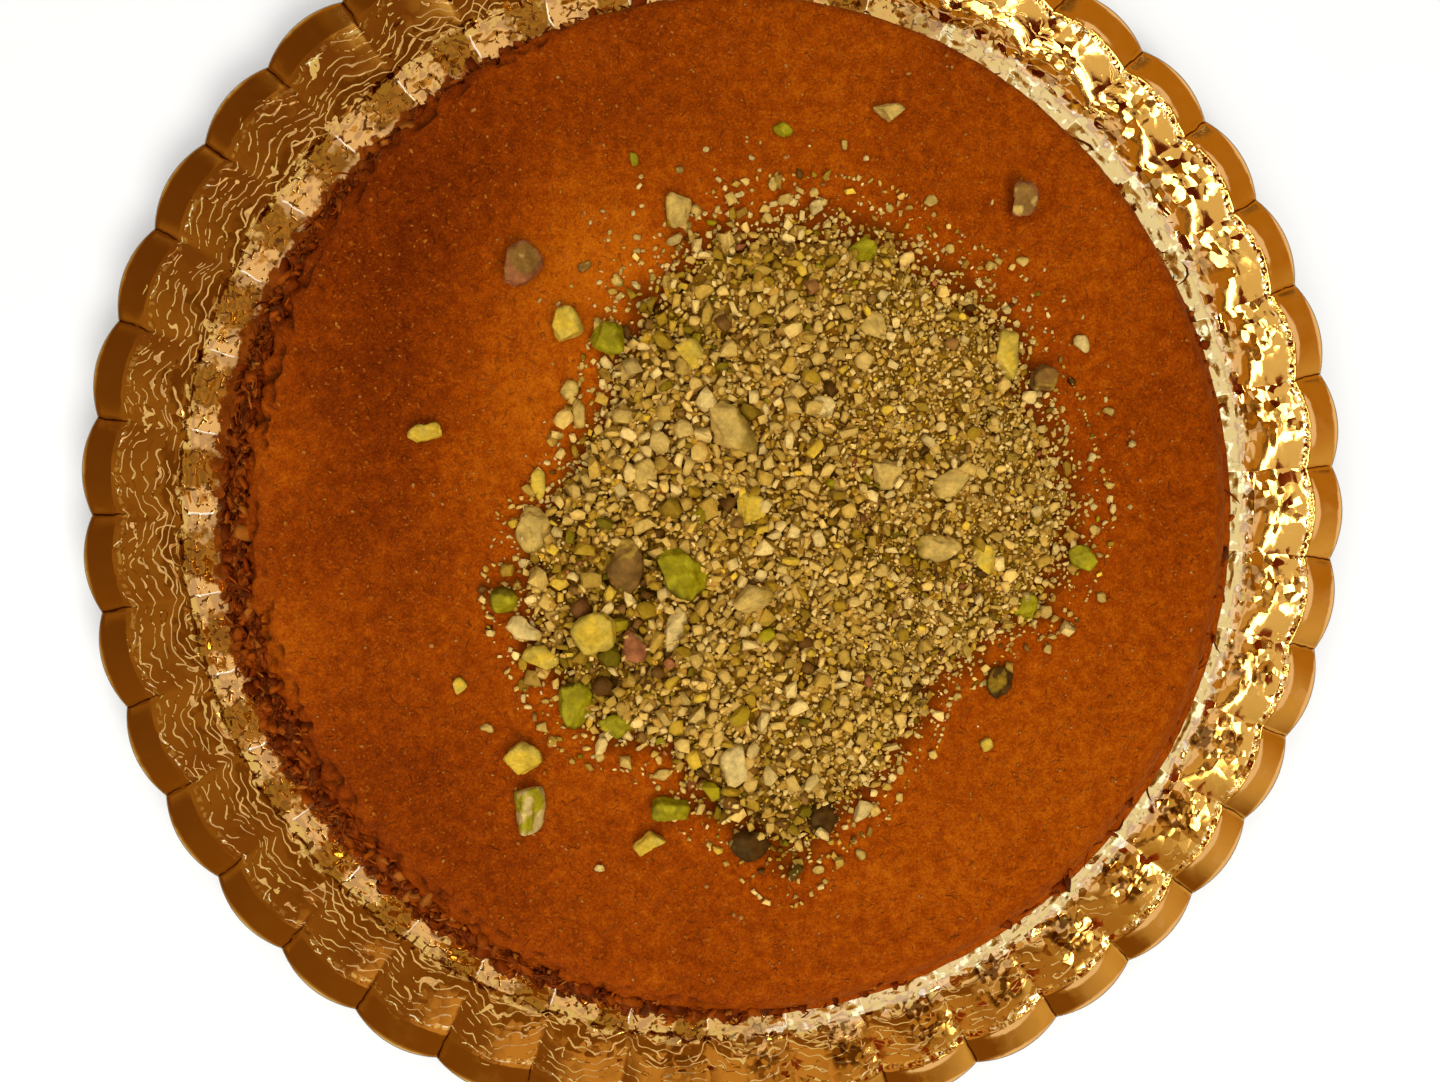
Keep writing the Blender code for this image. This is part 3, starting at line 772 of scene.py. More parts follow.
def crumpled_dark_reflection_share(tree, at):
    """Crumpled part of the band, painted dark as a reflection: a ragged patch in each flute, further to one
    side in the north and south.
    """
    ragged = remap(tree, grain(tree, 2.4 * MM), 0.3, 0.7, -0.3, 0.3)
    from_dark = maths(tree, "ABSOLUTE", plus(tree, at["phase"], times(tree, at["north"], 0.6)))
    return times(tree, at["band"], remap(tree, at["broken"], 0.9, 0.5),
                 remap(tree, plus(tree, from_dark, ragged), 0.62, 0.42))


def crack_shade_share(tree, at):
    """Cracks between cells of the crumpled band, painted dark as the shade in them, in patches, and fewer
    where the film is broken up.
    """
    edges = cell_pattern(tree, 2.9 * MM, "Distance", feature="DISTANCE_TO_EDGE")
    patches = remap(tree, grain(tree, 1.7 * MM), 0.53, 0.58)
    return times(tree, remap(tree, edges, 0.11, 0.06), patches,
                 remap(tree, at["broken"], 0.5, 0.95, 1.0, 0.3), at["band"])


def glint_and_wear_shares(tree, at):
    """Pale places, painted as glints on partly worn film: creases in the notches, dots along the brim, a
    paler broken-up band and bare patches next to the food; also a dark fold line in each notch of the slope,
    painted shade.
    """
    notch = remap(tree, at["to_notch"], 0.026, 0.012)
    # Pale crease in each notch over the band: partly worn film, partly a painted highlight
    crease = times(tree, notch, within(tree, at["radius"], 0.1308, 0.1364, 0.0006))
    # Painted shade: a dark line along the fold at each notch of the slope
    fold_shade = times(tree, notch, remap(tree, at["radius"], 0.1470, 0.1500),
                 remap(tree, grain(tree, 3 * MM), 0.30, 0.40))
    # Painted glints: pale dots along the brim
    brim_glints = times(tree, within(tree, at["row"], 0.1486, 0.1490, 0.0004),
                 remap(tree, grain(tree, 1.3 * MM, 1.0), 0.50, 0.56))
    # Painted highlight: the broken-up band made paler
    rubbed_glint = times(tree, at["band"], remap(tree, at["broken"], 0.6, 1.0, 0.0, 0.28))
    by_food = plus(tree, remap(tree, at["phase"], 0.45, 0.95, -0.06, 0.12),
                   remap(tree, at["radius"], 0.1320, 0.1308, -0.05, 0.14))
    # Painted glints: bare white patches next to the food
    bare = times(tree, at["band"], remap(tree, at["broken"], 0.55, 0.95),
                 remap(tree, plus(tree, grain(tree, 2.6 * MM, 1.0), by_food), 0.50, 0.55))
    return crease, fold_shade, brim_glints, rubbed_glint, bare


def dark_reflection_share(tree, at):
    """Painted dark reflection: dark brown patches on one half of each flute of the slope, thickest in the
    south-east.
    """
    half = times(tree, within(tree, at["radius"], 0.1388, 0.1475, MM),
                 within(tree, at["phase"], 0.0, 0.62, 0.12))
    return times(tree, half, at["broken"], remap(tree, grain(tree, 2.0 * MM, 1.0), 0.46, 0.54),
                 remap(tree, at["north"], 0.0, -0.5, 0.45, 0.95))


def crust_reflection_share(tree):
    """Painted reflection and shadow of the crust, out from under the food to a wavy line."""
    waves = remap(tree, grain(tree, 3.4 * MM, 3.0), 0.3, 0.7, -2.0 * MM, 2.0 * MM)
    return remap(tree, plus(tree, flat_from(tree, CRUST_REFLECTION_CENTRE)[1], waves), 0.1306, 0.1298)


def foil_colour(tree, at, crumpled, cracks):
    """Gold in two soft tones, with each mark laid over the ones before it: painted dark reflections, painted
    shade in cracks and folds, pale glints painted on partly worn film, and the crust's painted reflection and
    shadow.
    """
    crease, fold_shade, brim_glints, rubbed_glint, bare = glint_and_wear_shares(tree, at)
    # Painted reflection and shadow of the crust, dark red-brown
    crust_reflection = blend(tree, grain(tree, 2.6 * MM, 3.0), (0.26, 0.055, 0.003), (0.10, 0.020, 0.001))
    tone = blend(tree, grain(tree, 7 * MM), (0.67, 0.385, 0.098), (0.61, 0.335, 0.078))
    # Laid in turn: painted dark reflections, painted shade in cracks and folds, pale film as painted glints,
    # and the crust's painted reflection and shadow
    for share, colour in ((times(tree, crumpled, 0.95), BAND_DARK_REFLECTION), (cracks, CRACK_SHADE), (crease, WORN_AND_GLINT),
                          (fold_shade, CRACK_SHADE), (brim_glints, WORN_AND_GLINT), (rubbed_glint, WORN_AND_GLINT), (bare, WORN_AND_GLINT),
                          (dark_reflection_share(tree, at), DARK_REFLECTION), (crust_reflection_share(tree), crust_reflection)):
        tone = blend(tree, share, tone, colour)
    return tone


# The pale film is painted glints, partly worn film
print("worn foil mirrors this share of the light:", WORN_AND_GLINT)

# %% [markdown]
# What the foil mirrors depends on which way each point of it faces. Facets,
# the turned-over brim and the embossed lines are finer than the mesh, so the
# material leans the surface's normal there: outwards by an amount, and each
# small cell in a direction of its own. A bump map could do the same from a
# height, but it would blur lines as thin as these.

# %% How the foil faces
# Width of a line as a share of the spacing, and how far it leans outwards
LINE_WIDTH = 0.10
LINE_LEAN = 0.50


def thin_lines(tree, name):
    """1 on the embossed lines of a family, 0 between them: a narrow window of the share of a spacing."""
    share = maths(tree, "FRACT", value_of(tree, name))
    window = within(tree, share, 0.5 - LINE_WIDTH / 2, 0.5 + LINE_WIDTH / 2, 0.04)
    pressed = remap(tree, grain(tree, 2.2 * MM), 0.38, 0.5, 0.35, 1.0)
    return times(tree, window, value_of(tree, name + "_shown"), pressed)


def facet_lean(tree, at, crumpled):
    """How far small cells lean: most in the crumpled band, at the slope's foot and where it is broken up."""
    turned = times(tree, within(tree, at["radius"], 0.1374, 0.1396, 0.0005),
                   remap(tree, at["broken"], 0.2, 0.8, 0.14, 0.35))
    on_slope = times(tree, within(tree, at["row"], *SLOPE_ROWS, MM), at["broken"],
                     remap(tree, at["phase"], -0.5, 0.0, 0.0, 0.26))
    facets = plus(tree, remap(tree, crumpled, 0.0, 1.0, 0.05, 0.20), turned, on_slope)
    facets = times(tree, facets, remap(tree, at["row"], 0.1495, 0.1505, 1.0, 0.3))
    return plus(tree, facets, times(tree, at["brim"], 0.30))


def outward_lean(tree, at):
    """How far the film leans outwards: on half of each flute, at the slope's foot, on the brim and lines."""
    phase, radius, row, broken_up = at["phase"], at["radius"], at["row"], at["broken"]
    askew = times(tree, remap(tree, radius, 0.1380, 0.1400, 0.0, 0.13),
                  remap(tree, row, 0.1495, 0.1510, 1.0, 0.0), remap(tree, broken_up, 0.4, 0.9))
    corner = times(tree, remap(tree, radius, 0.1376, 0.1382), remap(tree, radius, 0.1435, 0.1400),
                   remap(tree, broken_up, 0.4, 1.0, 0.10, 0.24))
    ripple = remap(tree, grain(tree, 0.9 * MM, 1.0), 0.42, 0.58, -0.25, 0.25)
    over = times(tree, remap(tree, row, 0.1496, 0.1498), remap(tree, row, 0.1503, 0.1510, 1.0, 0.0),
                 broken_up)
    lines = maths(tree, "MAXIMUM", thin_lines(tree, "first"), thin_lines(tree, "second"))
    by_phase = plus(tree, times(tree, maths(tree, "MINIMUM", phase, 0.0), askew),
                    times(tree, phase, remap(tree, radius, 0.1380, 0.1400, 0.06, 0.0)))
    return plus(tree, by_phase, corner, times(tree, at["brim"], ripple), times(tree, over, 0.11),
                times(tree, lines, LINE_LEAN))


def pressed_normal(tree, flat, lean, facets):
    """Normal plus a lean outwards plus each small facet's own lean, brought back to length 1."""
    centred = vectors(tree, "SUBTRACT", {0: cell_pattern(tree, 2.3 * MM, "Color"), 1: (0.5, 0.5, 0.5)})
    outward = vectors(tree, "NORMALIZE", {0: flat})
    turned = vectors(tree, "ADD", {0: leaning(tree, centred, facets), 1: leaning(tree, outward, lean)})
    straight = add_node(tree, "ShaderNodeNewGeometry", {}).outputs["Normal"]
    return vectors(tree, "NORMALIZE", {0: vectors(tree, "ADD", {0: straight, 1: turned})})


print("width of an embossed line, mm:", round(LINE_WIDTH * LINE_SPACING / MM, 2))

# %% [markdown]
# Film and card are laminated, so they are one piece with two materials. The
# faces of the cut edge and the back get the card, and they are shaded flat,
# because a knife leaves that edge sharp.

# %% Foil and card
CRACK_DEPTH = 0.10 * MM


def foil_material():
    """Gold film: a tinted mirror with its marks and its painted reflections, shade and glints, whose normal
    leans where the film is pressed.
    """
    material, tree, shader = new_material("gold_film", 0.15, metallic=1.0)
    at = foil_places(tree)
    crumpled, cracks = crumpled_dark_reflection_share(tree, at), crack_shade_share(tree, at)
    tree.links.new(foil_colour(tree, at, crumpled, cracks), shader.inputs["Base Color"])
    tree.links.new(remap(tree, grain(tree, 3 * MM, 4.0), 0.3, 0.7, 0.06, 0.12), shader.inputs["Roughness"])
    pressed = pressed_normal(tree, at["flat"], outward_lean(tree, at), facet_lean(tree, at, crumpled))
    made = add_node(tree, "ShaderNodeBump", {
        "Height": times(tree, cracks, -0.5), "Distance": CRACK_DEPTH, "Strength": 1.0, "Normal": pressed})
    tree.links.new(made.outputs["Normal"], shader.inputs["Normal"])
    return material


def card_material():
    """Cut card: grey-brown, matt, with fine fibre."""
    material, tree, shader = new_material("card", 0.85, specular=0.2)
    tone = blend(tree, grain(tree, 0.8 * MM, 3.0), paint(112, 98, 78), paint(158, 142, 116))
    tree.links.new(tone, shader.inputs["Base Color"])
    bump(tree, shader, grain(tree, 0.5 * MM, 3.0), 0.05 * MM)
    return material


def add_tray():
    """Close the rings, store the numbers that the foil needs, and give the edge and the back the card."""
    rings = tray_rings()[::-1]
    points, faces = closed_stack(rings, (0.0, 0.0, 0.0), (0.0, 0.0, CARD))
    tray = make_piece("tray_foil", points, faces, [foil_material(), card_material()], ["tray"])
    angle = np.arctan2(points[:, 1], points[:, 0])
    radius = np.hypot(points[:, 0], points[:, 1])
    radius -= np.interp(radius, TRAY_ROWS, row_bulge) * scallop(angle)
    names = ("first", "second", "first_shown", "second_shown")
    for name, values in zip(names, line_paths(points, radius, angle)):
        add_values(tray, name, values)
    add_values(tray, "row", radius)
    add_values(tray, "broken", broken(angle))
    under_rows = len(rings) - len(TRAY_ROWS)
    plain = np.zeros(len(tray.data.polygons), np.int32)
    plain[:under_rows * TRAY_STEPS] = 1
    plain[len(faces[0]):len(faces[0]) + TRAY_STEPS] = 1
    tray.data.polygons.foreach_set("material_index", plain)
    tray.data.polygons.foreach_set("use_smooth", plain == 0)
    return tray


tray = add_tray()
print("tray triangles:", triangles_of(tray))

# %% [markdown]
# ## The kunafa
#
# A real kunafa is a thin crust of fine shredded dough, fried crisp in a round
# pan and turned out over cheese. Its top is flat with a fine short grain, and
# its side flares to a thin foot. On the left the side is torn: the strands
# there are loose, dark and lacy. One closed skin carries the broad relief, and
# the strands and grains that stand out are small pieces of their own on it.

# %% Shape of the round
KUNAFA_STEPS = 880
FOOT = 1.2 * MM
TOP = 17.2 * MM
TOP_CENTRE = np.array((4.1, 1.3)) * MM
TOP_RADII = np.array((119.8, 125.2)) * MM
FOOT_CENTRE = np.array((3.0, -2.4)) * MM
FOOT_RADIUS = 130.2 * MM
# Side from foot to top: height over the foot, share of the top's outline, step outwards
SIDE_HEIGHTS = np.array((0.0, 0.5, 1.6, 3.2, 4.0, 7.5, 11.5, 14.2, 15.4, 15.9, 16.0)) * MM
SIDE_SHARES = np.array((0.0, 0.0, 0.0, 0.10, 0.22, 0.48, 0.74, 0.98, 1.0, 1.0, 1.0))
SIDE_STEPS = np.array((-1.8, -0.4, 0.0, 0.2, -0.8, 0.3, 0.6, 0.5, -0.9, -2.8, -6.0)) * MM
SIDE_ROWS = 40
# Heights over the foot between which the side is rough, and how deep its torn hollows and lumps are in mm
ROUGH_FROM, ROUGH_TO = (0.6 * MM, 3 * MM), (14.6 * MM, 16 * MM)
HOLLOW_DEPTH, LUMP_HEIGHT = 2.3, 0.9
# Heights between which the darkness of the torn side ends
DARK_UP_TO = (9.6 * MM, 12.4 * MM)
# Rows of the top from its edge inwards, as shares of its radius
TOP_ROWS = np.concatenate((np.arange(119.0, 50.0, -1.15), np.arange(49.0, 3.0, -4.5))) / 125.2


def outline(angle, share, step):
    """Point round the side: the round foot mixed with the oval top by a share, moved outwards by a step."""
    across = from_centre(FOOT_CENTRE, FOOT_RADIUS + step, angle)
    over = (TOP_CENTRE[0] + (TOP_RADII[0] + step) * np.cos(angle),
            TOP_CENTRE[1] + (TOP_RADII[1] + step) * np.sin(angle))
    return across[0] * (1 - share) + over[0] * share, across[1] * (1 - share) + over[1] * share


def torn(angle):
    """How torn the side is: 1 on the left, from the far side to the near one, and hardly at all elsewhere."""
    turn = np.degrees(angle) % 360
    return 0.04 + 0.96 * rise(turn, 96, 122) * (1 - rise(turn, 245, 285))


def top_relief(x, y):
    """Broad waves and a fine short grain of the flat top."""
    places = flat_points(x, y)
    broad = 0.28 * MM * swell(places, 14 * MM, 21) + 0.16 * MM * swell(places, 6 * MM, 22)
    return broad + 0.10 * MM * swell(places, 2.6 * MM, 23)


def side_relief(places, angle, height):
    """How far the side stands out: rough noise, plus lumps less deep hollows times how torn it is."""
    rough = 0.35 * swell(places, 5 * MM, 24) + 0.25 * swell(places, 2.2 * MM, 25)
    lace = swell(places * (1.0, 1.0, 1.6), 4.2 * MM, 26)
    lace = lace + 0.5 * swell(places * (1.0, 1.0, 1.4), 2.0 * MM, 27)
    hollow = LUMP_HEIGHT * rise(-lace, 0.05, 0.5) - HOLLOW_DEPTH * rise(lace, 0.02, 0.5)
    middle = rise(height, *ROUGH_FROM) * (1 - rise(height, *ROUGH_TO))
    return MM * middle * (rough * 0.6 + torn(angle) * hollow)


print("foot of the round, mm across:", round(2 * FOOT_RADIUS / MM, 1))


# %% Skin of the round
def side_profile():
    """Height, share of the top's outline and step outwards on rows spread evenly along the side."""
    length = np.hypot(np.gradient(SIDE_HEIGHTS), np.gradient(SIDE_STEPS - SIDE_SHARES * 7 * MM))
    mark = np.cumsum(length) - length[0]
    mark /= mark[-1]
    climb = np.linspace(0, 1, SIDE_ROWS)
    return [soften(np.interp(climb, mark, values), 2)[:, None]
            for values in (SIDE_HEIGHTS, SIDE_SHARES, SIDE_STEPS)]


def kunafa_skin():
    """Rings from the foot up the side and in over the top, with how dark and hollow each point is."""
    angle = np.arange(KUNAFA_STEPS) * TAU / KUNAFA_STEPS
    height, share, step = side_profile()
    wavy = 0.4 * MM * (0.4 * np.cos(3 * angle + 0.5) + 0.3 * np.cos(5 * angle + 1.9))
    x, y = outline(angle, share, step + wavy)
    heights = np.repeat(height, KUNAFA_STEPS, 1)
    places = np.stack((x, y, heights + FOOT), -1)
    lift = side_relief(places, np.repeat(angle[None], SIDE_ROWS, 0), heights)
    side = np.stack((*outline(angle, share, step + wavy + lift), heights + FOOT), -1)
    ragged = heights + 1.6 * MM * swell(places, 4 * MM, 28)
    side_dark = torn(angle) * (1 - rise(ragged, *DARK_UP_TO))
    hollow = rise(-lift, 0.2 * MM, 1.6 * MM) * torn(angle)
    edge_x, edge_y = outline(angle, 1.0, SIDE_STEPS[-1] + wavy)
    inward = (TOP_ROWS / TOP_ROWS[0] * (1 - 1.2 * MM / TOP_RADII[1]))[:, None]
    x = TOP_CENTRE[0] + (edge_x - TOP_CENTRE[0]) * inward
    y = TOP_CENTRE[1] + (edge_y - TOP_CENTRE[1]) * inward
    top = np.stack((x, y, TOP + top_relief(x, y)), -1)
    side[..., 2] += rise(heights, 15.6 * MM, 16 * MM) * top_relief(side[..., 0], side[..., 1])
    none = np.zeros(top.shape[:2])
    return np.concatenate((side, top)), np.concatenate((side_dark, none)), np.concatenate((hollow, none))


print("rows of the skin:", SIDE_ROWS + len(TOP_ROWS), "steps:", KUNAFA_STEPS)

# %% [markdown]
# A crust never browns evenly. The spots could be painted by hand on an image,
# but a short table of soft spots says the same, and each can be moved or made
# stronger later. Each adds strength * exp(-(distance / reach)^2) to the browning.

# %% Browning of the top
def browning(x, y):
    """How brown the top is baked, 0 pale to 1 dark: 0.45 plus all soft spots plus broad noise."""
    spots = (
        # x, y, reach and strength, all but the last in mm
        (-75, 62, 34, 0.50), (-88, 28, 26, 0.46), (-92, -4, 26, 0.34), (-78, 88, 24, 0.30),
        (-40, 100, 30, 0.22), (-95, -62, 26, 0.26), (-74, -78, 24, 0.22), (-50, -92, 26, 0.20),
        (-34, 66, 22, -0.52), (-48, 44, 24, -0.42), (-58, 14, 26, -0.34), (-108, 18, 15, -0.36),
        (-110, -28, 16, -0.30), (-30, -62, 26, -0.20), (20, 88, 40, -0.10), (60, -86, 40, -0.16),
        (95, -50, 30, -0.12), (108, 20, 26, 0.14), (80, 62, 24, -0.04), (52, 100, 18, 0.16),
        (0, -108, 26, 0.06), (-10, 112, 22, 0.16),
    )
    total = np.zeros_like(x)
    for spot_x, spot_y, reach, strength in spots:
        away = ((x / MM - spot_x) ** 2 + (y / MM - spot_y) ** 2) / reach ** 2
        total += strength * np.exp(-away)
    places = flat_points(x, y)
    return 0.45 + total + 0.14 * swell(places, 17 * MM, 31) + 0.10 * swell(places, 7 * MM, 32)


print("browning in the middle:", np.round(browning(np.zeros(1), np.zeros(1)), 2).tolist())

# %% [markdown]
# The crust's colour runs from pale orange where it is thin to deep brown where
# it caught. The torn side is far darker, because the strands there shade each
# other. Grain finer than the mesh is noise of three sizes, added together.

# %% Crust material
CRUST_SHEEN = (1.0, 0.4, 0.05)


def crust_material():
    """Baked crust: browning from the attribute, mottles, fibres, pale specks, and a dark torn side with
    painted shade in its hollows.
    """
    material, tree, shader = new_material("baked_crust", 0.5, specular=0.07, tint=CRUST_SHEEN)
    baked, dark, hollow = (value_of(tree, name) for name in ("browning", "torn", "hollow"))
    mottle = remap(tree, grain(tree, 3.4 * MM, 3.0, 0.6), 0.25, 0.75, -0.34, 0.34)
    fine = remap(tree, grain(tree, 1.1 * MM, 2.0, 0.6, 1.2), 0.25, 0.75, -0.32, 0.32)
    finest = remap(tree, grain(tree, 0.55 * MM, 1.0), 0.25, 0.75, -0.24, 0.24)
    level = plus(tree, baked, mottle, fine, finest)
    tone = color_ramp(tree, remap(tree, level, -0.6, 1.4), (
        (0.0, paint(224, 118, 14)), (0.3, paint(195, 93, 7)), (0.5, paint(169, 70, 3)),
        (0.72, paint(139, 52, 2)), (1.0, paint(101, 31, 1))))
    speck = remap(tree, grain(tree, 1.1 * MM, 1.0), 0.66, 0.72)
    tone = blend(tree, times(tree, speck, 0.5), tone, paint(204, 110, 26))
    side = color_ramp(tree, grain(tree, 1.6 * MM, 3.0, 0.65), (
        (0.3, paint(80, 24, 1)), (0.52, paint(132, 48, 2)), (0.68, paint(184, 84, 10))))
    tone = blend(tree, times(tree, value_of(tree, "oily"), 0.75), tone, paint(104, 42, 1))
    tone = blend(tree, dark, tone, side)
    # Painted shade in the hollows of the torn side
    tone = blend(tree, times(tree, hollow, 0.8), tone, paint(60, 18, 1))
    tree.links.new(tone, shader.inputs["Base Color"])
    tree.links.new(remap(tree, grain(tree, 2 * MM, 3.0), 0.3, 0.7, 0.36, 0.62), shader.inputs["Roughness"])
    fibre = plus(tree, grain(tree, 0.7 * MM, 2.0, 0.6, 1.4), times(tree, grain(tree, 1.9 * MM), 0.8))
    bump(tree, shader, fibre, 0.24 * MM, 0.8)
    return material


def add_kunafa():
    """Close the skin and store how brown, torn and hollow each point is."""
    rings, dark, hollow = kunafa_skin()
    points, faces = closed_stack(rings, (*FOOT_CENTRE, FOOT), (*TOP_CENTRE, TOP))
    skin = make_piece("kunafa_crust", points, faces, [crust_material()], ["kunafa"])
    add_values(skin, "browning", browning(points[:, 0], points[:, 1]))
    add_values(skin, "torn", np.append(dark.ravel(), (0.0, 0.0)))
    add_values(skin, "hollow", np.append(hollow.ravel(), (0.0, 0.0)))
    return skin


kunafa = add_kunafa()
print("kunafa triangles:", triangles_of(kunafa))

# %% [markdown]
# ## Chopped nuts
#
# A knife leaves bits with flat faces and sharp edges. The smallest whole shape
# of that kind has its points at the middles of a box's twelve edges: fourteen
# flat faces and only 20 triangles, so many thousands can lie on the round. The
# box's eight corners are pulled about at random and take the points along, so
# wedges, slabs and splinters all come out of one shape.

# %% Small crumbs by the thousand
def chipped_shape(rank):
    """Triangles and corner weights of the skin round a box's corners (rank 3) or its edges' middles (2)."""
    steps = np.array(list(np.ndindex(3, 3, 3))) - 1.0
    points = steps[np.abs(steps).sum(1) == rank]
    shape = bmesh.new()
    for point in points:
        shape.verts.new(point)
    bmesh.ops.convex_hull(shape, input=shape.verts[:])
    bmesh.ops.triangulate(shape, faces=shape.faces[:])
    shape.verts.index_update()
    faces = np.array([[vertex.index for vertex in face.verts] for face in shape.faces])
    shape.free()
    weights = ((1 + points[:, None] * BOX_CORNERS[None]) / 2).prod(2)
    return faces, weights


BOX_CORNERS = np.array(list(np.ndindex(2, 2, 2))) * 2.0 - 1.0
CHIP = chipped_shape(2)
BLOCK = chipped_shape(3)


def unit_rows(values):
    """Rows scaled to length 1."""
    return values / np.linalg.norm(values, axis=-1, keepdims=True)


def turn_matrices(turn, tilt, roll):
    """Rotations (n, 3, 3): roll about X, then tilt about Y, then turn about Z."""
    ca, sa, cb, sb, cc, sc = (wave(angle) for angle in (turn, tilt, roll) for wave in (np.cos, np.sin))
    rows = [[ca * cb, ca * sb * sc - sa * cc, ca * sb * cc + sa * sc],
            [sa * cb, sa * sb * sc + ca * cc, sa * sb * cc - ca * sc],
            [-sb, cb * sc, cb * cc]]
    return np.moveaxis(np.array(rows), 2, 0)


def crumbs(places, sizes, draw, unit, lean=0.5, pull=0.5):
    """Points (n, v, 3) of crumbs: box corners pulled about, sized, averaged by the unit's weights, turned."""
    count = len(places)
    corners = BOX_CORNERS * draw.uniform(1 - pull, 1.25, (count, 8, 3)) * sizes[:, None] / 2
    shape = np.einsum("vk,nkc->nvc", unit[1], corners)
    turn, tilt, roll = draw.uniform(0, TAU, count), draw.normal(0, lean, count), draw.normal(0, lean, count)
    return np.einsum("nij,nvj->nvi", turn_matrices(turn, tilt, roll), shape) + places[:, None]


def join_crumbs(name, groups, material, nodes):
    """One piece from groups of crumbs (points, colours, unit), with each crumb's colour on its points."""
    points, faces, tones, first = [], [], [], 0
    for shape, colours, unit in groups:
        count, corners = shape.shape[:2]
        faces.append((unit[0][None] + (first + np.arange(count) * corners)[:, None, None]).reshape(-1, 3))
        points.append(shape.reshape(-1, 3))
        tones.append(np.repeat(colours, corners, 0))
        first += count * corners
    piece = make_piece(name, np.vstack(points), [np.vstack(faces)], [material], nodes)
    add_colours(piece, np.vstack(tones))
    return piece


print("triangles of a crumb:", len(CHIP[0]), "or", len(BLOCK[0]))

# %% [markdown]
# Pistachio flesh is pale and slightly waxy, greener near the outside, and its
# skin is purple-brown and wrinkled. The colours come from the points, and the
# material adds fine mottling and grain.

# %% Nut material
def nut_material(name, roughness, depth, crisp=0.0):
    """Nut flesh or skin: its own colour, mottled, with fine grain; crisp is how flat small faces look."""
    material, tree, shader = new_material(name, roughness, specular=0.15, tint=(1.0, 0.75, 0.3))
    shade = remap(tree, grain(tree, 1.1 * MM, 3.0, 0.6), 0.3, 0.7, 0.78, 1.16)
    grey = add_node(tree, "ShaderNodeCombineColor", {key: shade for key in ("Red", "Green", "Blue")})
    tone = blend(tree, 1.0, value_of(tree, "tone", "Color"), grey.outputs["Color"], "MULTIPLY")
    tree.links.new(tone, shader.inputs["Base Color"])
    surface = add_node(tree, "ShaderNodeNewGeometry", {}).outputs
    smooth, flat = leaning(tree, surface["Normal"], 1 - crisp), leaning(tree, surface["True Normal"], crisp)
    even = vectors(tree, "NORMALIZE", {0: vectors(tree, "ADD", {0: smooth, 1: flat})})
    made = add_node(tree, "ShaderNodeBump", {
        "Height": grain(tree, 0.6 * MM, 3.0, 0.6), "Distance": depth, "Strength": 0.8, "Normal": even})
    tree.links.new(made.outputs["Normal"], shader.inputs["Normal"])
    return material


FLESH = nut_material("nut_flesh", 0.55, 0.14 * MM)
SKIN = nut_material("nut_skin", 0.5, 0.22 * MM)
CHOPPED = nut_material("chopped_nut", 0.6, 0.14 * MM, 0.8)
TONES = {
    "cream": paint(228, 192, 112), "pale": paint(208, 167, 80), "khaki": paint(186, 144, 54),
    "olive": paint(154, 116, 22), "yellow": paint(222, 178, 50), "green": paint(150, 132, 10),
    "deep_green": paint(112, 92, 6), "husk": paint(142, 98, 40), "skin": paint(172, 100, 55),
    "lemon": paint(214, 176, 62), "lime": paint(170, 152, 22), "dark": paint(82, 50, 12),
}
print("nut tones:", sorted(TONES))

# %% [markdown]
# ## The heap
#
# The heap is a low mound of chopped nut. Its core is a rough brown-green dome
# that only shows in the gaps; its dark brown is partly the colour of packed fine crumb
# and partly painted shade of the gaps. Over it lie thousands of crumbs in layers, with
# the larger bits between them. A solid mound with a bumpy finish would be
# quicker, but its outline would be smooth, and no crumb would cast a shadow.

# %% Outline and dome
HEAP_CENTRE = np.array((14.0, -3.8)) * MM
# Reach of the heap in mm every 15 degrees, anticlockwise from +X
HEAP_REACH_MM = np.array((
    71, 69, 69, 74, 73, 76, 75, 73, 66, 58, 53, 54,
    63, 67, 67, 68, 61, 71, 82, 68, 59, 52, 57, 67,
))
# Height that clears the crust's waves, and the steps and shares of the outline that the core is made of
CRUST_CLEAR = 17.5 * MM
CORE_STEPS = 300
CORE_SHARES = np.concatenate(((0.93, 0.935), np.linspace(0.925, 0.03, 56)))


def heap_reach(angle):
    """Reach of the heap at an angle: the stated reaches every 15 degrees, eased into each other."""
    place = (angle / TAU) % 1.0 * len(HEAP_REACH_MM)
    index = np.floor(place).astype(int)
    near = HEAP_REACH_MM[index % len(HEAP_REACH_MM)]
    far = HEAP_REACH_MM[(index + 1) % len(HEAP_REACH_MM)]
    return MM * (near + (far - near) * ease(place - index))


def heap_share(x, y):
    """0 in the middle of the heap and 1 on its outline."""
    away_x, away_y = x - HEAP_CENTRE[0], y - HEAP_CENTRE[1]
    return np.hypot(away_x, away_y) / heap_reach(np.arctan2(away_y, away_x))


def dome(x, y):
    """Height of the heap's core: an edge of 0.5 mm rising to 5.1 mm, with soft bumps."""
    share = np.minimum(heap_share(x, y), 1.0)
    places = flat_points(x, y)
    bumps = 0.8 * MM * swell(places, 11 * MM, 41) + 0.4 * MM * swell(places, 4.5 * MM, 42)
    return 0.5 * MM + 4.6 * MM * (1 - share ** 2) ** 0.75 + bumps * (1 - share ** 4)


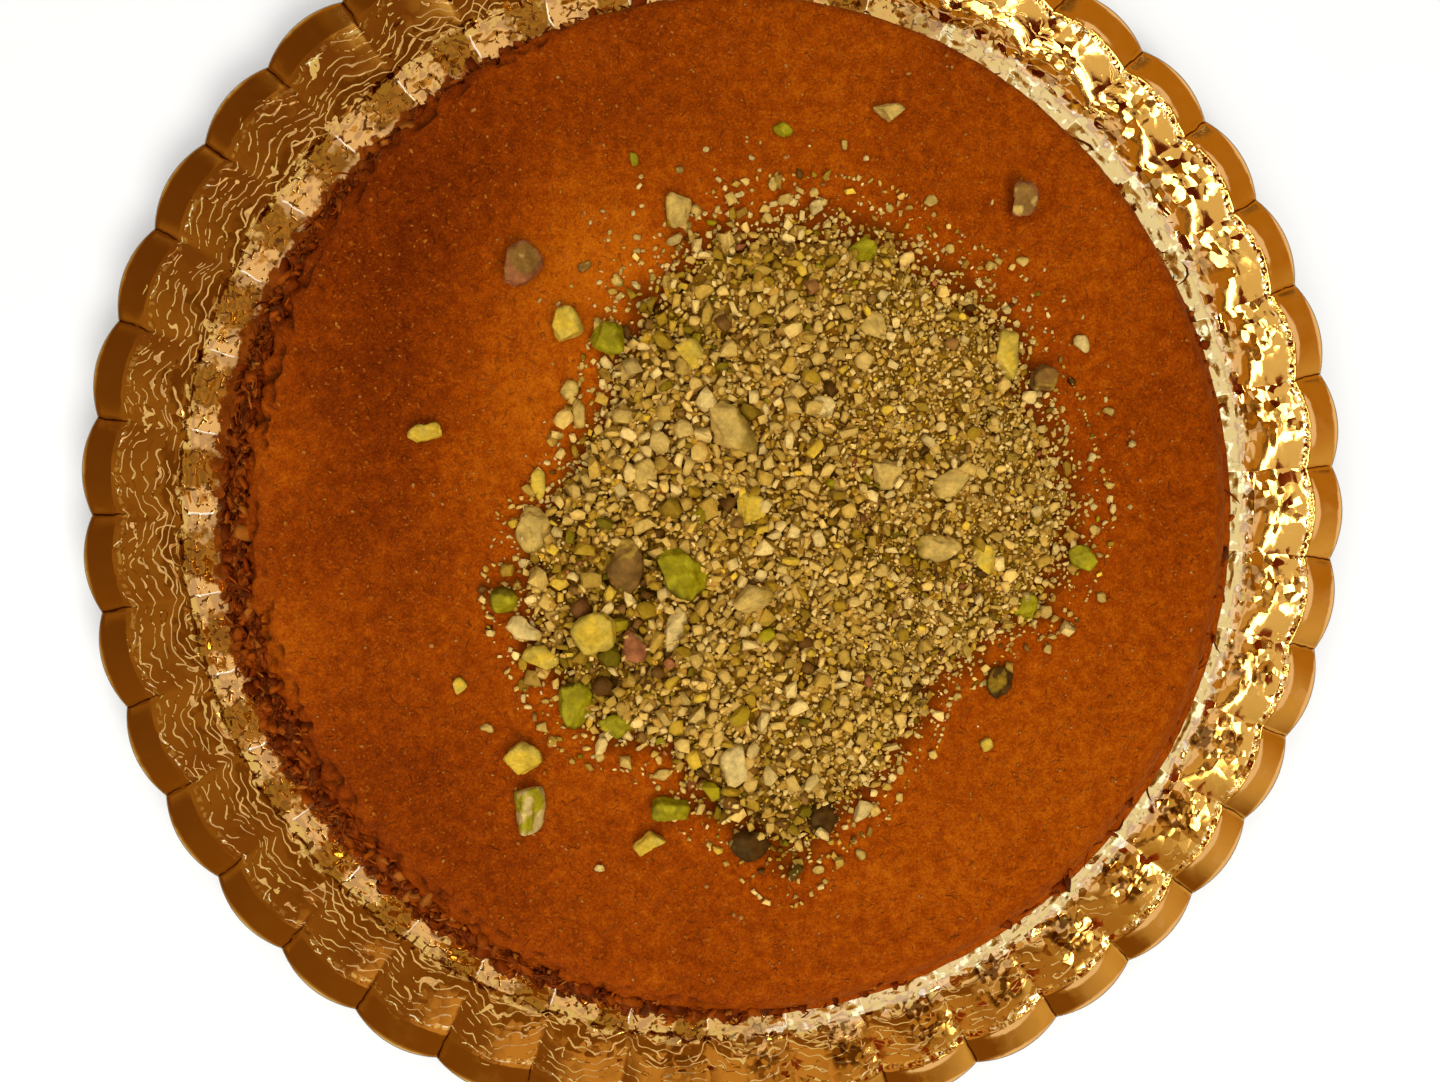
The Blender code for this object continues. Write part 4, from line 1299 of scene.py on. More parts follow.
def add_core():
    """Closed low dome of packed fine crumb, just inside the outline, coloured dark brown, partly as painted
    shade of the gaps.
    """
    angle = np.arange(CORE_STEPS) * TAU / CORE_STEPS
    reach = heap_reach(angle) * CORE_SHARES[:, None]
    x, y = from_centre(HEAP_CENTRE, reach, angle)
    z = CRUST_CLEAR + dome(x, y) + 0.35 * MM * swell(flat_points(x, y), 1.6 * MM, 43)
    z[0] = CRUST_CLEAR - 0.1 * MM
    middle = float(dome(*HEAP_CENTRE[:, None])[0])
    points, faces = closed_stack(np.stack((x, y, z), -1), (*HEAP_CENTRE, CRUST_CLEAR - 0.1 * MM),
                                 (*HEAP_CENTRE, CRUST_CLEAR + middle))
    core = make_piece("heap_core", points, faces, [nut_material("packed_crumb", 0.7, 0.3 * MM)],
                      ["pistachio_heap"])
    patch = rise(swell(points, 3 * MM, 44), -0.4, 0.4)[:, None]
    # Dark brown of the core: partly the colour of fine crumb, partly painted shade of the gaps between crumbs
    add_colours(core, paint(136, 84, 6) * (1 - patch) + paint(164, 114, 20) * patch)
    return core


def oil_the_crust(crust):
    """Store how oily the crust is: 1 under the heap, 0 from a wavy line a few millimetres past it."""
    points = np.empty(len(crust.data.vertices) * 3, np.float32)
    crust.data.vertices.foreach_get("co", points)
    points = points.reshape(-1, 3).astype(float)
    away_x, away_y = points[:, 0] - HEAP_CENTRE[0], points[:, 1] - HEAP_CENTRE[1]
    beyond = np.hypot(away_x, away_y) - heap_reach(np.arctan2(away_y, away_x))
    places = flat_points(points[:, 0], points[:, 1])
    reach = 3.2 * MM + 3.4 * MM * swell(places, 12 * MM, 46) + 1.2 * MM * swell(places, 4 * MM, 47)
    add_values(crust, "oily", 1 - rise(beyond - reach, -2.0 * MM, 3.5 * MM))


core = add_core()
oil_the_crust(kunafa)
print("heap core triangles:", triangles_of(core))

# %% [markdown]
# Crumbs that fall come to rest on what lies below them. A physics simulation
# could drop them, but it is slow for ten thousand. A grid of heights does as
# well: each crumb reads the height under it, settles, and raises its cells.

# %% Settling crumbs
# Grid of heights over the heap: side of a cell, corner of the grid, and cells each way
CELL = 0.4 * MM
ROOF_ORIGIN = HEAP_CENTRE - 100 * MM
ROOF_CELLS = 500
middles = ROOF_ORIGIN[:, None] + (np.arange(ROOF_CELLS) + 0.5) * CELL
grid_x, grid_y = np.meshgrid(*middles, indexing="ij")
roof = np.where(heap_share(grid_x, grid_y) < 0.93, CRUST_CLEAR + dome(grid_x, grid_y), TOP)


def roof_cell(x, y):
    """Row and column of the roof under a place."""
    cell = np.floor((np.stack((x, y)) - ROOF_ORIGIN[:, None]) / CELL).astype(int)
    return np.clip(cell, 8, ROOF_CELLS - 9)


def settle(x, y, sizes, sunk):
    """Heights at which crumbs rest: the mean roof under each, plus half its height, less what sinks."""
    i, j = roof_cell(x, y)
    span = np.maximum((0.3 * sizes[:, 0] / CELL).astype(int), 1)
    under = roof[i, j] * 2 + roof[i + span, j] + roof[i - span, j] + roof[i, j + span] + roof[i, j - span]
    under /= 6
    z = under + (0.5 - sunk) * sizes[:, 2]
    radius = np.sqrt(sizes[:, 0] * sizes[:, 1]) / 2
    reach = min(int(radius.max() / CELL) + 1, 8)
    for step_i in range(-reach, reach + 1):
        for step_j in range(-reach, reach + 1):
            gap = (step_i ** 2 + step_j ** 2) * (CELL / radius) ** 2
            top = np.where(gap < 1, z + sizes[:, 2] / 2 * np.sqrt(np.maximum(1 - gap, 0)), 0.0)
            np.maximum.at(roof, (i + step_i, j + step_j), top)
    return z


def spread(count, draw, fray):
    """Places over the heap, evenly by area, frayed past its outline."""
    angle = draw.uniform(0, TAU, count)
    share = np.sqrt(draw.uniform(0, 1, count)) * (0.985 + fray * draw.normal(size=count) ** 3 / 3)
    reach = heap_reach(angle) * np.clip(share, 0, 1.16)
    return from_centre(HEAP_CENTRE, reach, angle)


def crumb_sizes(count, draw, middle, spread_share, low, high):
    """Length, width and height of crumbs: a bell curve on the logarithm of the length, cut at both ends."""
    length = np.clip(middle * np.exp(spread_share * draw.normal(size=count)), low, high)
    width, height = length * draw.uniform(0.48, 0.92, count), length * draw.uniform(0.40, 0.75, count)
    return np.stack((length, width, height), -1)


def shades(names, weights, count, draw):
    """Colour for each crumb: a tone drawn by weight, mixed with another and made lighter or darker."""
    table = np.array([TONES[name] for name in names])
    weights = np.array(weights) / sum(weights)
    first = table[draw.choice(len(names), count, p=weights)]
    second = table[draw.choice(len(names), count, p=weights)]
    share = draw.uniform(0, 0.35, (count, 1))
    return (first * (1 - share) + second * share) * np.exp(0.13 * draw.normal(size=(count, 1)))


print("roof cells:", roof.shape)

# %% [markdown]
# Larger kernel bits get a finer surface. Their grid runs round the long axis.
# The lump is slightly pointed at one end, the cuts meet it through a soft
# minimum, so the corners are rounded as if chewed by the knife, and a second
# result says where a cut has laid the flesh bare. Flesh and skin are then
# coloured apart, with a green edge between them.

# %% Kernel bits
# A cut reaches the directions that face it by more than this, and counts as far away elsewhere
FACING_LEAST, FAR = 0.06, 9.0
CUT_SHARPNESS = 55.0


def soft_least(values, sharpness):
    """Smooth minimum of a stack: each value to a high negative power, summed, and taken back."""
    return (np.maximum(values, 0.05) ** -sharpness).sum(0) ** (-1 / sharpness)


def kernel(size, turn, draw, rows, steps, cuts, wrinkle, block):
    """Closed rings of one bit round its middle, and how bare the flesh is at each point.

    The lump's radius is (|x|^p + |y|^p + |z|^p)^(-1/p), round for p = 2 and boxy for more. The
    radius in a direction is the soft minimum of the lump and of each cut's depth over its facing.
    """
    lean = np.linspace(0, math.pi, rows + 2)[1:-1, None]
    round_it = np.arange(steps) * TAU / steps
    facing = np.stack(np.broadcast_arrays(-np.cos(lean), np.sin(lean) * np.cos(round_it),
                                          np.sin(lean) * np.sin(round_it)), -1)
    ends = np.array(((-1.0, 0.0, 0.0), (1.0, 0.0, 0.0)))
    facing = np.vstack((facing.reshape(-1, 3), ends))
    lump = (np.abs(facing) ** block).sum(1) ** (-1 / block)
    lump = lump * (1.04 - 0.12 * facing[:, 0]) + 0.15 * swell(facing + draw.uniform(0, 50, 3), 0.7, 51)
    planes = unit_rows(draw.normal(size=(cuts, 3)))
    if cuts > 4:  # a bit with many cuts shows one of them on top
        planes[0] = unit_rows(np.array((draw.normal(0, 0.3), draw.normal(0, 0.3), 1.0)))
    depth = draw.uniform(0.50, 0.84, cuts)
    toward_cut = facing @ planes.T
    flats = np.where(toward_cut > FACING_LEAST, depth / np.maximum(toward_cut, FACING_LEAST), FAR)
    radius = soft_least(np.vstack((lump, flats.T)), CUT_SHARPNESS)
    bare = rise(-radius / lump, -0.985, -0.93)
    shape = facing * radius[:, None] * np.array(size) / 2
    offset = draw.uniform(0, 1, 3)
    rough = wrinkle * (1 - 0.6 * bare) * swell(shape + offset, 1.5 * MM, 52)
    rough = rough + 0.24 * MM * swell(shape + offset, 2.2 * MM, 55)
    rough = rough + 0.12 * MM * swell(shape + offset, 1.0 * MM, 53)
    rough = rough - 0.06 * min(size) * rise(swell(shape + offset, 3.6 * MM, 58), 0.1, 0.35)
    shape = shape + facing * rough[:, None]
    matrix = turn_matrices(*(np.array([angle]) for angle in (turn, draw.normal(0, 0.1), 0.0)))
    return shape @ matrix[0].T, bare


def kernel_colours(points, bare, skin, flesh, second, draw):
    """Skin outside; inside, flesh with sharp patches of its second tone; a green edge; fine streaks."""
    offset = draw.uniform(0, 1, 3)
    blotch = rise(swell(points + offset, 2.6 * MM, 54), -0.4, 0.4)[:, None]
    patch = rise(swell(points + offset, 3.2 * MM, 57), 0.02, 0.16)[:, None]
    streak = swell((points + offset) * (1.0, 2.5, 1.0), 1.2 * MM, 56)[:, None]
    edge = (4 * bare * (1 - bare))[:, None] * 0.4
    bare = bare[:, None]
    outer = TONES[skin] * (0.70 + 0.50 * blotch)
    inner = (TONES[flesh] * (1 - patch) + TONES[second] * patch) * (1.02 + 0.30 * blotch)
    colour = (outer * (1 - bare) + inner * bare) * (1 + 0.16 * streak)
    return colour * (1 - edge) + TONES["green"] * 0.8 * edge


def join_kernels(name, bits, material, nodes):
    """One piece from bits given as (points, colours, rows, steps)."""
    points, colours, squares, fans, first = [], [], [], [], 0
    for shape, tone, rows, steps in bits:
        square, fan = stack_faces(rows, steps)
        points.append(shape)
        colours.append(tone)
        squares.append(square + first)
        fans.append(fan + first)
        first += len(shape)
    faces = [np.vstack(squares), np.vstack(fans)]
    piece = make_piece(name, np.vstack(points), faces, [material], nodes)
    add_colours(piece, np.vstack(colours))
    return piece


print("kernel helpers ready")

# %% [markdown]
# Chopping leaves bits of a few kinds: pale inner flesh, yellow or green outer
# flesh, and bits that kept their skin. A kind is a row of numbers for the same
# surface, and a table gives each larger bit its place, size, turn and kind.

# %% Larger bits on the heap
# Rows and steps of a bit's grid: the larger bits, and the small ones
BIT_GRID = (30, 40)
SMALL_GRID = (14, 20)
# Kind of bit: skin tone, flesh tone, second flesh tone, number of cuts, wrinkle depth in mm, boxiness
KINDS = {
    "pale": ("khaki", "pale", "pale", 9, 0.22, 2.6),
    "cream": ("pale", "cream", "cream", 10, 0.18, 2.8),
    "yellow": ("lemon", "yellow", "lemon", 6, 0.16, 3.2),
    "green": ("green", "green", "lime", 8, 0.30, 3.0),
    "block": ("cream", "lime", "cream", 6, 0.25, 4.0),
    "deep_green": ("deep_green", "green", "lime", 6, 0.50, 2.8),
    "husk": ("husk", "khaki", "husk", 3, 0.60, 2.2),
    "skin": ("skin", "husk", "pale", 3, 0.50, 2.2),
    "dark": ("dark", "olive", "dark", 3, 0.50, 2.4),
}


def cut_bit(size, turn, kind, draw, grid, wrinkled=1.0):
    """One bit of a kind round the origin: its points, how bare the flesh is, and its three tones."""
    skin, flesh, second, cuts, wrinkle, block = KINDS[kind]
    shape, bare = kernel(size, math.radians(turn), draw, *grid, cuts, wrinkled * wrinkle * MM, block)
    return shape, bare, (skin, flesh, second)


# Larger bits on the heap in mm: x, y, length, width, height, turn in degrees, kind
HEAP_PIECES = (
    (-1.8, 20.6, 16.5, 10.5, 7.0, 118, "pale"),
    (-13.3, -12.8, 14.0, 11.0, 7.5, 140, "deep_green"),
    (-26.1, -11.3, 13.5, 8.5, 6.5, 80, "husk"),
    (3.3, -20.2, 13.0, 8.0, 6.5, 30, "pale"),
    (-14.8, -27.4, 11.0, 5.5, 5.0, 70, "cream"),
    (-21.5, 10.5, 8.5, 6.0, 5.0, 20, "pale"),
    (3.5, 1.5, 8.0, 7.0, 5.0, 0, "yellow"),
    (36.9, 10.2, 9.5, 9.0, 5.5, 0, "pale"),
    (54.2, 9.0, 11.0, 7.0, 5.0, 35, "pale"),
    (50.1, -8.7, 10.5, 7.5, 5.5, 165, "pale"),
    (61.9, -10.5, 7.5, 6.0, 4.5, 80, "yellow"),
    (34.2, 46.1, 9.0, 7.0, 5.0, 150, "pale"),
    (22.0, 26.0, 6.5, 6.0, 4.5, 0, "cream"),
    (-10.8, 38.6, 7.5, 7.0, 5.0, 40, "yellow"),
    (-24.2, -31.5, 10.0, 6.0, 5.0, 85, "skin"),
    (0.9, -62.5, 13.5, 8.0, 6.0, 105, "cream"),
    (31.9, 64.5, 7.0, 6.5, 5.0, 60, "green"),
    (-48.9, -2.4, 11.5, 9.5, 6.5, 100, "pale"),
    (-46.9, -35.2, 8.5, 6.5, 5.0, 10, "yellow"),
    (-32.7, -28.3, 11.0, 9.5, 6.5, 20, "yellow"),
    (-38.9, -46.0, 11.5, 10.0, 7.0, 120, "deep_green"),
    (-28.4, -51.1, 9.0, 7.5, 5.5, 30, "green"),
    (5.0, -82.5, 8.5, 7.5, 5.0, 20, "dark"),
    (22.3, -75.7, 8.5, 7.5, 5.5, 100, "dark"),
    (67.6, 39.7, 12.0, 7.5, 4.5, 80, "yellow"),
    (73.6, -23.6, 8.0, 5.0, 4.5, 75, "green"),
)
print("bits on the heap:", len(HEAP_PIECES))

# %% [markdown]
# The heap isn't the same all over: in places it is darker and greener, with more
# skin among the crumbs. A second table of soft spots marks them, and the kind of
# each crumb is drawn with shares that depend on the spot it lies in.

# %% Kinds of crumb
# Kinds of crumb on the heap: tones, their weights, share where it is pale and share in the dark patches
CRUMB_KINDS = {
    "pale": (("cream", "pale", "khaki"), (3, 6, 2), 0.76, 0.28),
    "khaki": (("khaki", "olive", "yellow"), (5, 3, 2), 0.17, 0.36),
    "green": (("green", "deep_green", "olive"), (1, 3, 6), 0.035, 0.18),
    "skin": (("husk", "skin", "dark"), (5, 1, 4), 0.035, 0.18),
}

# Dark patches of the heap in mm: x, y, reach
DARK_PATCHES = (
    (17, 62, 7), (3, 59, 5), (-18, 47, 5), (-20, -5, 8), (-38, -12, 7), (-33, -28, 9),
    (-36, -40, 9), (-20, -38, 8), (0, -66, 8), (7, -83, 8), (47, -12, 6), (33, -5, 5),
    (15, -36, 8), (-3, 40, 6), (-23, -17, 6), (20, -76, 6),
)


def crumb_kinds(x, y, draw):
    """Kind number of each crumb: shares run from pale to dark with the patches, and one draw picks one."""
    patch = sum(np.exp(-((x / MM - px) ** 2 + (y / MM - py) ** 2) / reach ** 2)
                for px, py, reach in DARK_PATCHES)
    patch = rise(patch + 0.35 * swell(flat_points(x, y), 6 * MM, 45), 0.25, 0.75)
    shares = np.array([kind[2:] for kind in CRUMB_KINDS.values()])
    sums_to = np.cumsum(shares[:, :1] * (1 - patch) + shares[:, 1:] * patch, 0)
    return (draw.random(len(x)) > sums_to).sum(0).clip(0, len(CRUMB_KINDS) - 1)


def far_from_bits(x, y):
    """True where a place isn't on one of the larger bits."""
    rows = np.array([row[:5] for row in HEAP_PIECES]) * MM
    reach = 0.40 * np.sqrt(rows[:, 2] * rows[:, 3])
    away = np.hypot(x[:, None] - rows[:, 0], y[:, None] - rows[:, 1])
    return (away > reach).all(1)


# Widest disc that a crumb marks, in cells each way
WIDEST = 14


def keep_apart(x, y, reach):
    """True for places that keep clear of those before them: each one kept marks its disc on a fine grid."""
    cell = CELL / 2
    across = 2 * ROOF_CELLS
    taken = np.zeros((across, across), bool)
    column = np.floor((x - ROOF_ORIGIN[0]) / cell).astype(int).clip(WIDEST + 2, across - WIDEST - 3)
    line = np.floor((y - ROOF_ORIGIN[1]) / cell).astype(int).clip(WIDEST + 2, across - WIDEST - 3)
    cells_out = np.round(reach / cell).astype(int).clip(1, WIDEST)
    discs = [np.hypot(*np.mgrid[-out:out + 1, -out:out + 1]) <= out for out in range(WIDEST + 1)]
    kept = np.zeros(len(x), bool)
    for index, (i, j, out) in enumerate(zip(column.tolist(), line.tolist(), cells_out.tolist())):
        window = taken[i - out:i + out + 1, j - out:j + out + 1]
        if not (window & discs[out]).any():
            window |= discs[out]
            kept[index] = True
    return kept


def lay_bits(draw):
    """Settle the larger bits one by one."""
    bits = []
    for x, y, length, width, height, turn, kind in HEAP_PIECES:
        size = np.array((length, width, height)) * MM
        shape, bare, tones = cut_bit(size, turn, kind, draw, BIT_GRID)
        z = settle(np.array([x * MM]), np.array([y * MM]), size[None], 0.22)[0]
        shape = shape + (x * MM, y * MM, z)
        bits.append((shape, kernel_colours(shape, bare, *tones, draw), *BIT_GRID))
    return bits


print("dark patches of the heap:", len(DARK_PATCHES))

# %% [markdown]
# Now the heap is laid: a bed of crumbs tinted darker and warmer as painted shade of
# the gaps, the larger bits, and over them the pale chips, tinted lighter as painted light.
# The chips are laid longest first and kept clear of each other, so that each shows whole,
# and the small ones fill what is left.

# %% Lay the layers
# Layers of the heap: crumbs tried, usual length in mm, spread, share sunk, tint, kept clear of each other.
# The tint is painted light and shade: darker and warmer for the two lower layers, lighter for the top one
LAYERS = (
    (2600, 2.6, 0.32, 0.30, (0.88, 0.72, 0.41), False),
    (2400, 2.2, 0.36, 0.20, (1.10, 0.94, 0.60), False),
    (40000, 1.2, 0.48, 0.02, (1.42, 1.39, 1.34), True),
)
# Share of the crumbs that are blocks instead of chips, and how much smaller they are made
BLOCK_SHARE = 0.4
BLOCK_SCALE = 0.86


def keep_clear(x, y, sizes):
    """Places and sizes of crumbs, longest first, that lie beside the larger bits and beside each other."""
    order = np.argsort(-sizes[:, 0])
    x, y, sizes = x[order], y[order], sizes[order]
    keep = far_from_bits(x, y)
    keep[keep] = keep_apart(x[keep], y[keep], 0.47 * np.sqrt(sizes[keep, 0] * sizes[keep, 1]))
    return x[keep], y[keep], sizes[keep]


def join_kind(kind, places, sizes, tones, draw):
    """One piece from all crumbs of a kind, as chips and blocks."""
    blocky = draw.random(len(places)) < BLOCK_SHARE
    groups = []
    for mine, scale, unit in ((~blocky, 1.0, CHIP), (blocky, BLOCK_SCALE, BLOCK)):
        shape = crumbs(places[mine], sizes[mine] * scale, draw, unit, lean=0.28, pull=0.68)
        groups.append((shape, tones[mine], unit))
    material = SKIN if kind == "skin" else CHOPPED
    join_crumbs(f"heap_{kind}", groups, material, ["pistachio_heap"])
    print(f"crumbs of {kind}:", len(places))


def pile_heap():
    """Lay a bed of crumbs tinted darker as painted shade, then the larger bits, then pale chips tinted
    lighter as painted light, with smaller ones in their gaps.
    """
    draw = np.random.default_rng(19)
    layers = {kind: [] for kind in CRUMB_KINDS}
    for count, middle, vary, sunk, tint, clear in LAYERS:
        x, y = spread(count, draw, 0.10 if clear else 0.05)
        sizes = crumb_sizes(count, draw, middle * MM, vary, 0.7 * MM, 5.0 * MM)
        sizes *= (1.14 - 0.34 * rise(x, -10 * MM, 60 * MM))[:, None]
        if clear:
            bits = lay_bits(draw)
            x, y, sizes = keep_clear(x, y, sizes)
        z = settle(x, y, sizes, sunk)
        kind_of = crumb_kinds(x, y, draw)
        for index, (kind, row) in enumerate(CRUMB_KINDS.items()):
            mine = kind_of == index
            # The tint paints shade on the lower layers and light on the top one
            tones = shades(row[0], row[1], mine.sum(), draw) * tint
            layers[kind].append((np.stack((x[mine], y[mine], z[mine]), -1), sizes[mine], tones))
    for kind, groups in layers.items():
        join_kind(kind, *(np.vstack(group) for group in zip(*groups)), draw)
    return join_kernels("heap_kernels", bits, FLESH, ["pistachio_heap"])


print("triangles of the larger bits:", triangles_of(pile_heap()))

# %% [markdown]
# ## Nuts that lie apart
#
# Sixteen bits lie alone on the crust. Each keeps the place, size and turn of
# its solid, and stands a hair's breadth above the crust.

# %% Loose kernels
# Node: x, y, length, width and height in mm, turn in degrees, kind, slot
LOOSE_PIECES = {
    "pistachio_skinned_left": (-51.6, 60.8, 11.5, 9.5, 7.0, 35, "skin", "pistachio_skin"),
    "pistachio_slab_top": (-13.0, 73.9, 10.5, 7.0, 4.5, 95, "pale", "pistachio_pale"),
    "pistachio_twin_top": (38.2, 98.6, 8.0, 5.2, 4.0, 160, "pale", "pistachio_pale"),
    "pistachio_skinned_right": (71.7, 78.2, 8.6, 7.4, 5.5, 80, "skin", "pistachio_skin"),
    "pistachio_yellow_left": (-40.9, 46.0, 9.5, 7.5, 5.0, 110, "yellow", "pistachio_yellow"),
    "pistachio_olive_left": (-31.0, 42.4, 9.5, 9.0, 6.0, 0, "green", "pistachio_green"),
    "pistachio_yellow_far_left": (-74.2, 19.6, 8.0, 5.2, 4.0, 15, "yellow", "pistachio_yellow"),
    "pistachio_green_left": (-55.4, -21.0, 6.8, 6.6, 4.5, 0, "deep_green", "pistachio_green"),
    "pistachio_wedge_lower_left": (-51.5, -60.2, 9.0, 8.4, 4.5, 60, "yellow", "pistachio_yellow"),
    "pistachio_block_lower_left": (-50.6, -71.6, 11.5, 8.5, 6.0, 85, "block", "pistachio_green"),
    "pistachio_green_bottom": (-16.2, -73.4, 9.0, 7.6, 5.0, 165, "green", "pistachio_green"),
    "pistachio_yellow_bottom": (-20.6, -81.0, 7.8, 6.4, 4.5, 30, "yellow", "pistachio_yellow"),
    "pistachio_brown_right": (67.2, -41.7, 7.4, 6.2, 4.0, 70, "dark", "pistachio_skin"),
    "pistachio_dark_right": (78.4, 33.4, 7.4, 7.0, 5.0, 0, "husk", "pistachio_skin"),
    "pistachio_cream_left": (-51.9, -28.0, 9.0, 6.6, 4.5, 165, "cream", "pistachio_pale"),
    "pistachio_green_right": (87.9, -10.6, 7.0, 6.0, 4.5, 150, "green", "pistachio_green"),
}


def add_loose(node, row, draw):
    """One loose bit, its underside flattened where it lies on the crust."""
    x, y, length, width, height, turn, kind, slot = row
    size = np.array((length, width, height * 1.1)) * MM
    shape, bare, tones = cut_bit(size, turn, kind, draw, BIT_GRID)
    below = 0.45 * height * MM
    shape[:, 2] = np.maximum(shape[:, 2], -below)
    shape += (x * MM, y * MM, CRUST_CLEAR + below)
    colours = kernel_colours(shape, bare, *tones, draw)
    material = SKIN if slot == "pistachio_skin" else FLESH
    bit = (shape, colours, *BIT_GRID)
    return join_kernels(node.replace("pistachio", "nut"), [bit], material, [node])


draw_loose = np.random.default_rng(11)
for node, row in LOOSE_PIECES.items():
    add_loose(node, row, draw_loose)
print("loose bits:", len(LOOSE_PIECES))

# %% [markdown]
# ## Small nuts on the crust
#
# The smaller bits are part of the crust's solid, so they lie on it as pieces of
# the same node. The larger ones of them keep their stated places.

# %% Small bits
# Small bits in mm: x, y, length, width, turn in degrees, kind
SMALL_PIECES = (
    (12.6, 93.8, 5.0, 4.4, 20, "green"),
    (-24.3, 86.3, 3.4, 2.6, 90, "green"),
    (27.6, 90.2, 3.2, 2.5, 70, "pale"),
    (20.8, 75.4, 4.6, 4.0, 30, "cream"),
    (-39.8, 30.9, 4.8, 4.2, 45, "pale"),
    (-37.4, 25.2, 7.6, 4.2, 95, "pale"),
    (-47.9, 7.8, 7.2, 3.8, 85, "yellow"),
    (-67.4, -42.0, 5.0, 3.6, 110, "yellow"),
    (-60.2, -52.4, 3.6, 2.8, 0, "pale"),
    (-17.2, -64.6, 6.0, 3.2, 10, "pale"),
    (32.9, -74.3, 6.2, 5.2, 60, "cream"),
    (64.8, -58.1, 3.8, 3.2, 30, "yellow"),
    (87.6, 42.3, 5.4, 4.6, 100, "cream"),
    (49.2, 77.2, 3.8, 3.0, 60, "pale"),
    (72.4, 62.3, 3.4, 3.0, 0, "pale"),
    (-36.0, 60.6, 3.4, 2.6, 50, "husk"),
    (-33.2, -88.0, 3.0, 2.6, 0, "cream"),
)
GOLDEN_ANGLE = math.pi * (3 - math.sqrt(5))
FUSED_CRUMBS = 16


def room_round(rows, share):
    """Round spot (x, y, radius) for each row of a table in mm."""
    return [(row[0] * MM, row[1] * MM, share * row[2] * MM) for row in rows]


def scattered_rows(draw):
    """Crumbs fused to the solid, by the solid's own rule: round the heap, clear of the other bits."""
    spots = room_round([*LOOSE_PIECES.values(), *HEAP_PIECES], 0.62) + room_round(SMALL_PIECES, 0.6)
    rows, tries = [], 0
    while len(rows) < FUSED_CRUMBS:
        angle = tries * GOLDEN_ANGLE
        tries += 1
        length = draw.uniform(3.6 * MM, 2.6 * MM)
        reach = float(heap_reach(np.array(angle))) + 6.0 * MM + 12.0 * MM * draw.random() ** 2
        x = HEAP_CENTRE[0] + reach * math.cos(angle)
        y = HEAP_CENTRE[1] + reach * math.sin(angle)
        room = 0.6 * length + 0.6 * MM
        if all(math.hypot(x - spot[0], y - spot[1]) > room + spot[2] for spot in spots):
            spots.append((x, y, 0.6 * length))
            rows.append((x / MM, y / MM, length / MM, 0.8 * length / MM, math.degrees(tries), "pale"))
    return rows


def add_small(draw):
    """Small bits, sunk a little into the crust."""
    bits = []
    for x, y, length, width, turn, kind in list(SMALL_PIECES) + scattered_rows(random.Random(7)):
        size = np.array((length, width, 0.62 * width)) * MM
        shape, bare, tones = cut_bit(size, turn, kind, draw, SMALL_GRID, 0.5)
        shape += (x * MM, y * MM, TOP + 0.24 * width * MM)
        bits.append((shape, kernel_colours(shape, bare, *tones, draw), *SMALL_GRID))
    return join_kernels("small_nuts", bits, FLESH, ["kunafa"])


add_small(np.random.default_rng(8))
print("small bits:", len(SMALL_PIECES) + FUSED_CRUMBS)

# %% [markdown]
# The finest crumbs are too many to place by hand. They are drawn at random, at
# distances from the heap that fall off quickly, as for crumbs that roll off it.

# %% Scattered crumbs
def add_scatter(count, draw):
    """Fine crumbs that thin out from the heap's outline, thickest on its far left and its right."""
    angle = draw.uniform(0, TAU, count)
    turn = np.degrees(angle)
    plenty = 1.0 + 2.2 * np.exp(-((turn - 118) / 34) ** 2) + 1.6 * np.exp(-((turn - 20) / 26) ** 2)
    beyond = draw.exponential(1.0, count) * 3.2 * MM * plenty
    reach = heap_reach(angle) * 0.985 + beyond
    keep = (beyond < 26 * MM) & (draw.uniform(0, 3.4, count) < plenty)
    reach, angle = reach[keep], angle[keep]
    x, y = from_centre(HEAP_CENTRE, reach, angle)
    sizes = crumb_sizes(len(x), draw, 1.15 * MM, 0.38, 0.5 * MM, 2.6 * MM)
    places = np.stack((x, y, TOP + top_relief(x, y) + 0.25 * sizes[:, 2]), -1)
    tones = shades(("cream", "pale", "khaki"), (7, 5, 1), len(x), draw) * 1.15
    groups = [(crumbs(places, sizes, draw, CHIP), tones, CHIP)]
    return join_crumbs("scattered_crumbs", groups, CHOPPED, ["kunafa"])


scatter = add_scatter(1500, np.random.default_rng(9))
print("scattered crumbs:", len(scatter.data.polygons) // len(CHIP[0]))

# %% [markdown]
# ## Strands and grains of the crust
#
# The torn side shows loose ends of shredded dough, and the top has countless
# short ends that catch the light. Each strand is a thin tube: a bent line with
# a five-sided ring carried along it, all of them worked out in one array.

# %% Strands
def tubes(starts, along, bend, length, thickness, rings, sides):
    """Points (n, rings, sides, 3): each tube follows start + along*t + bend*t*(1-t), tapered at both ends."""
    share = np.linspace(0, 1, rings)[None, :, None]
    line = starts[:, None] + along[:, None] * (share * length[:, None, None])
    line = line + bend[:, None] * (share * (1 - share) * length[:, None, None])
    forward = unit_rows(np.gradient(line, axis=1))
    aside = unit_rows(np.cross(forward, np.array((0.05, 0.03, 1.0))))
    over = np.cross(aside, forward)
    taper = np.sqrt(np.clip(1.02 - (2 * share - 1) ** 2, 0.0, 1.0)) * thickness[:, None, None] / 2
    around = (np.arange(sides) * TAU / sides)[None, None, :, None]
    out = np.cos(around) * aside[:, :, None] + np.sin(around) * over[:, :, None]
    return line[:, :, None] + taper[..., None] * out


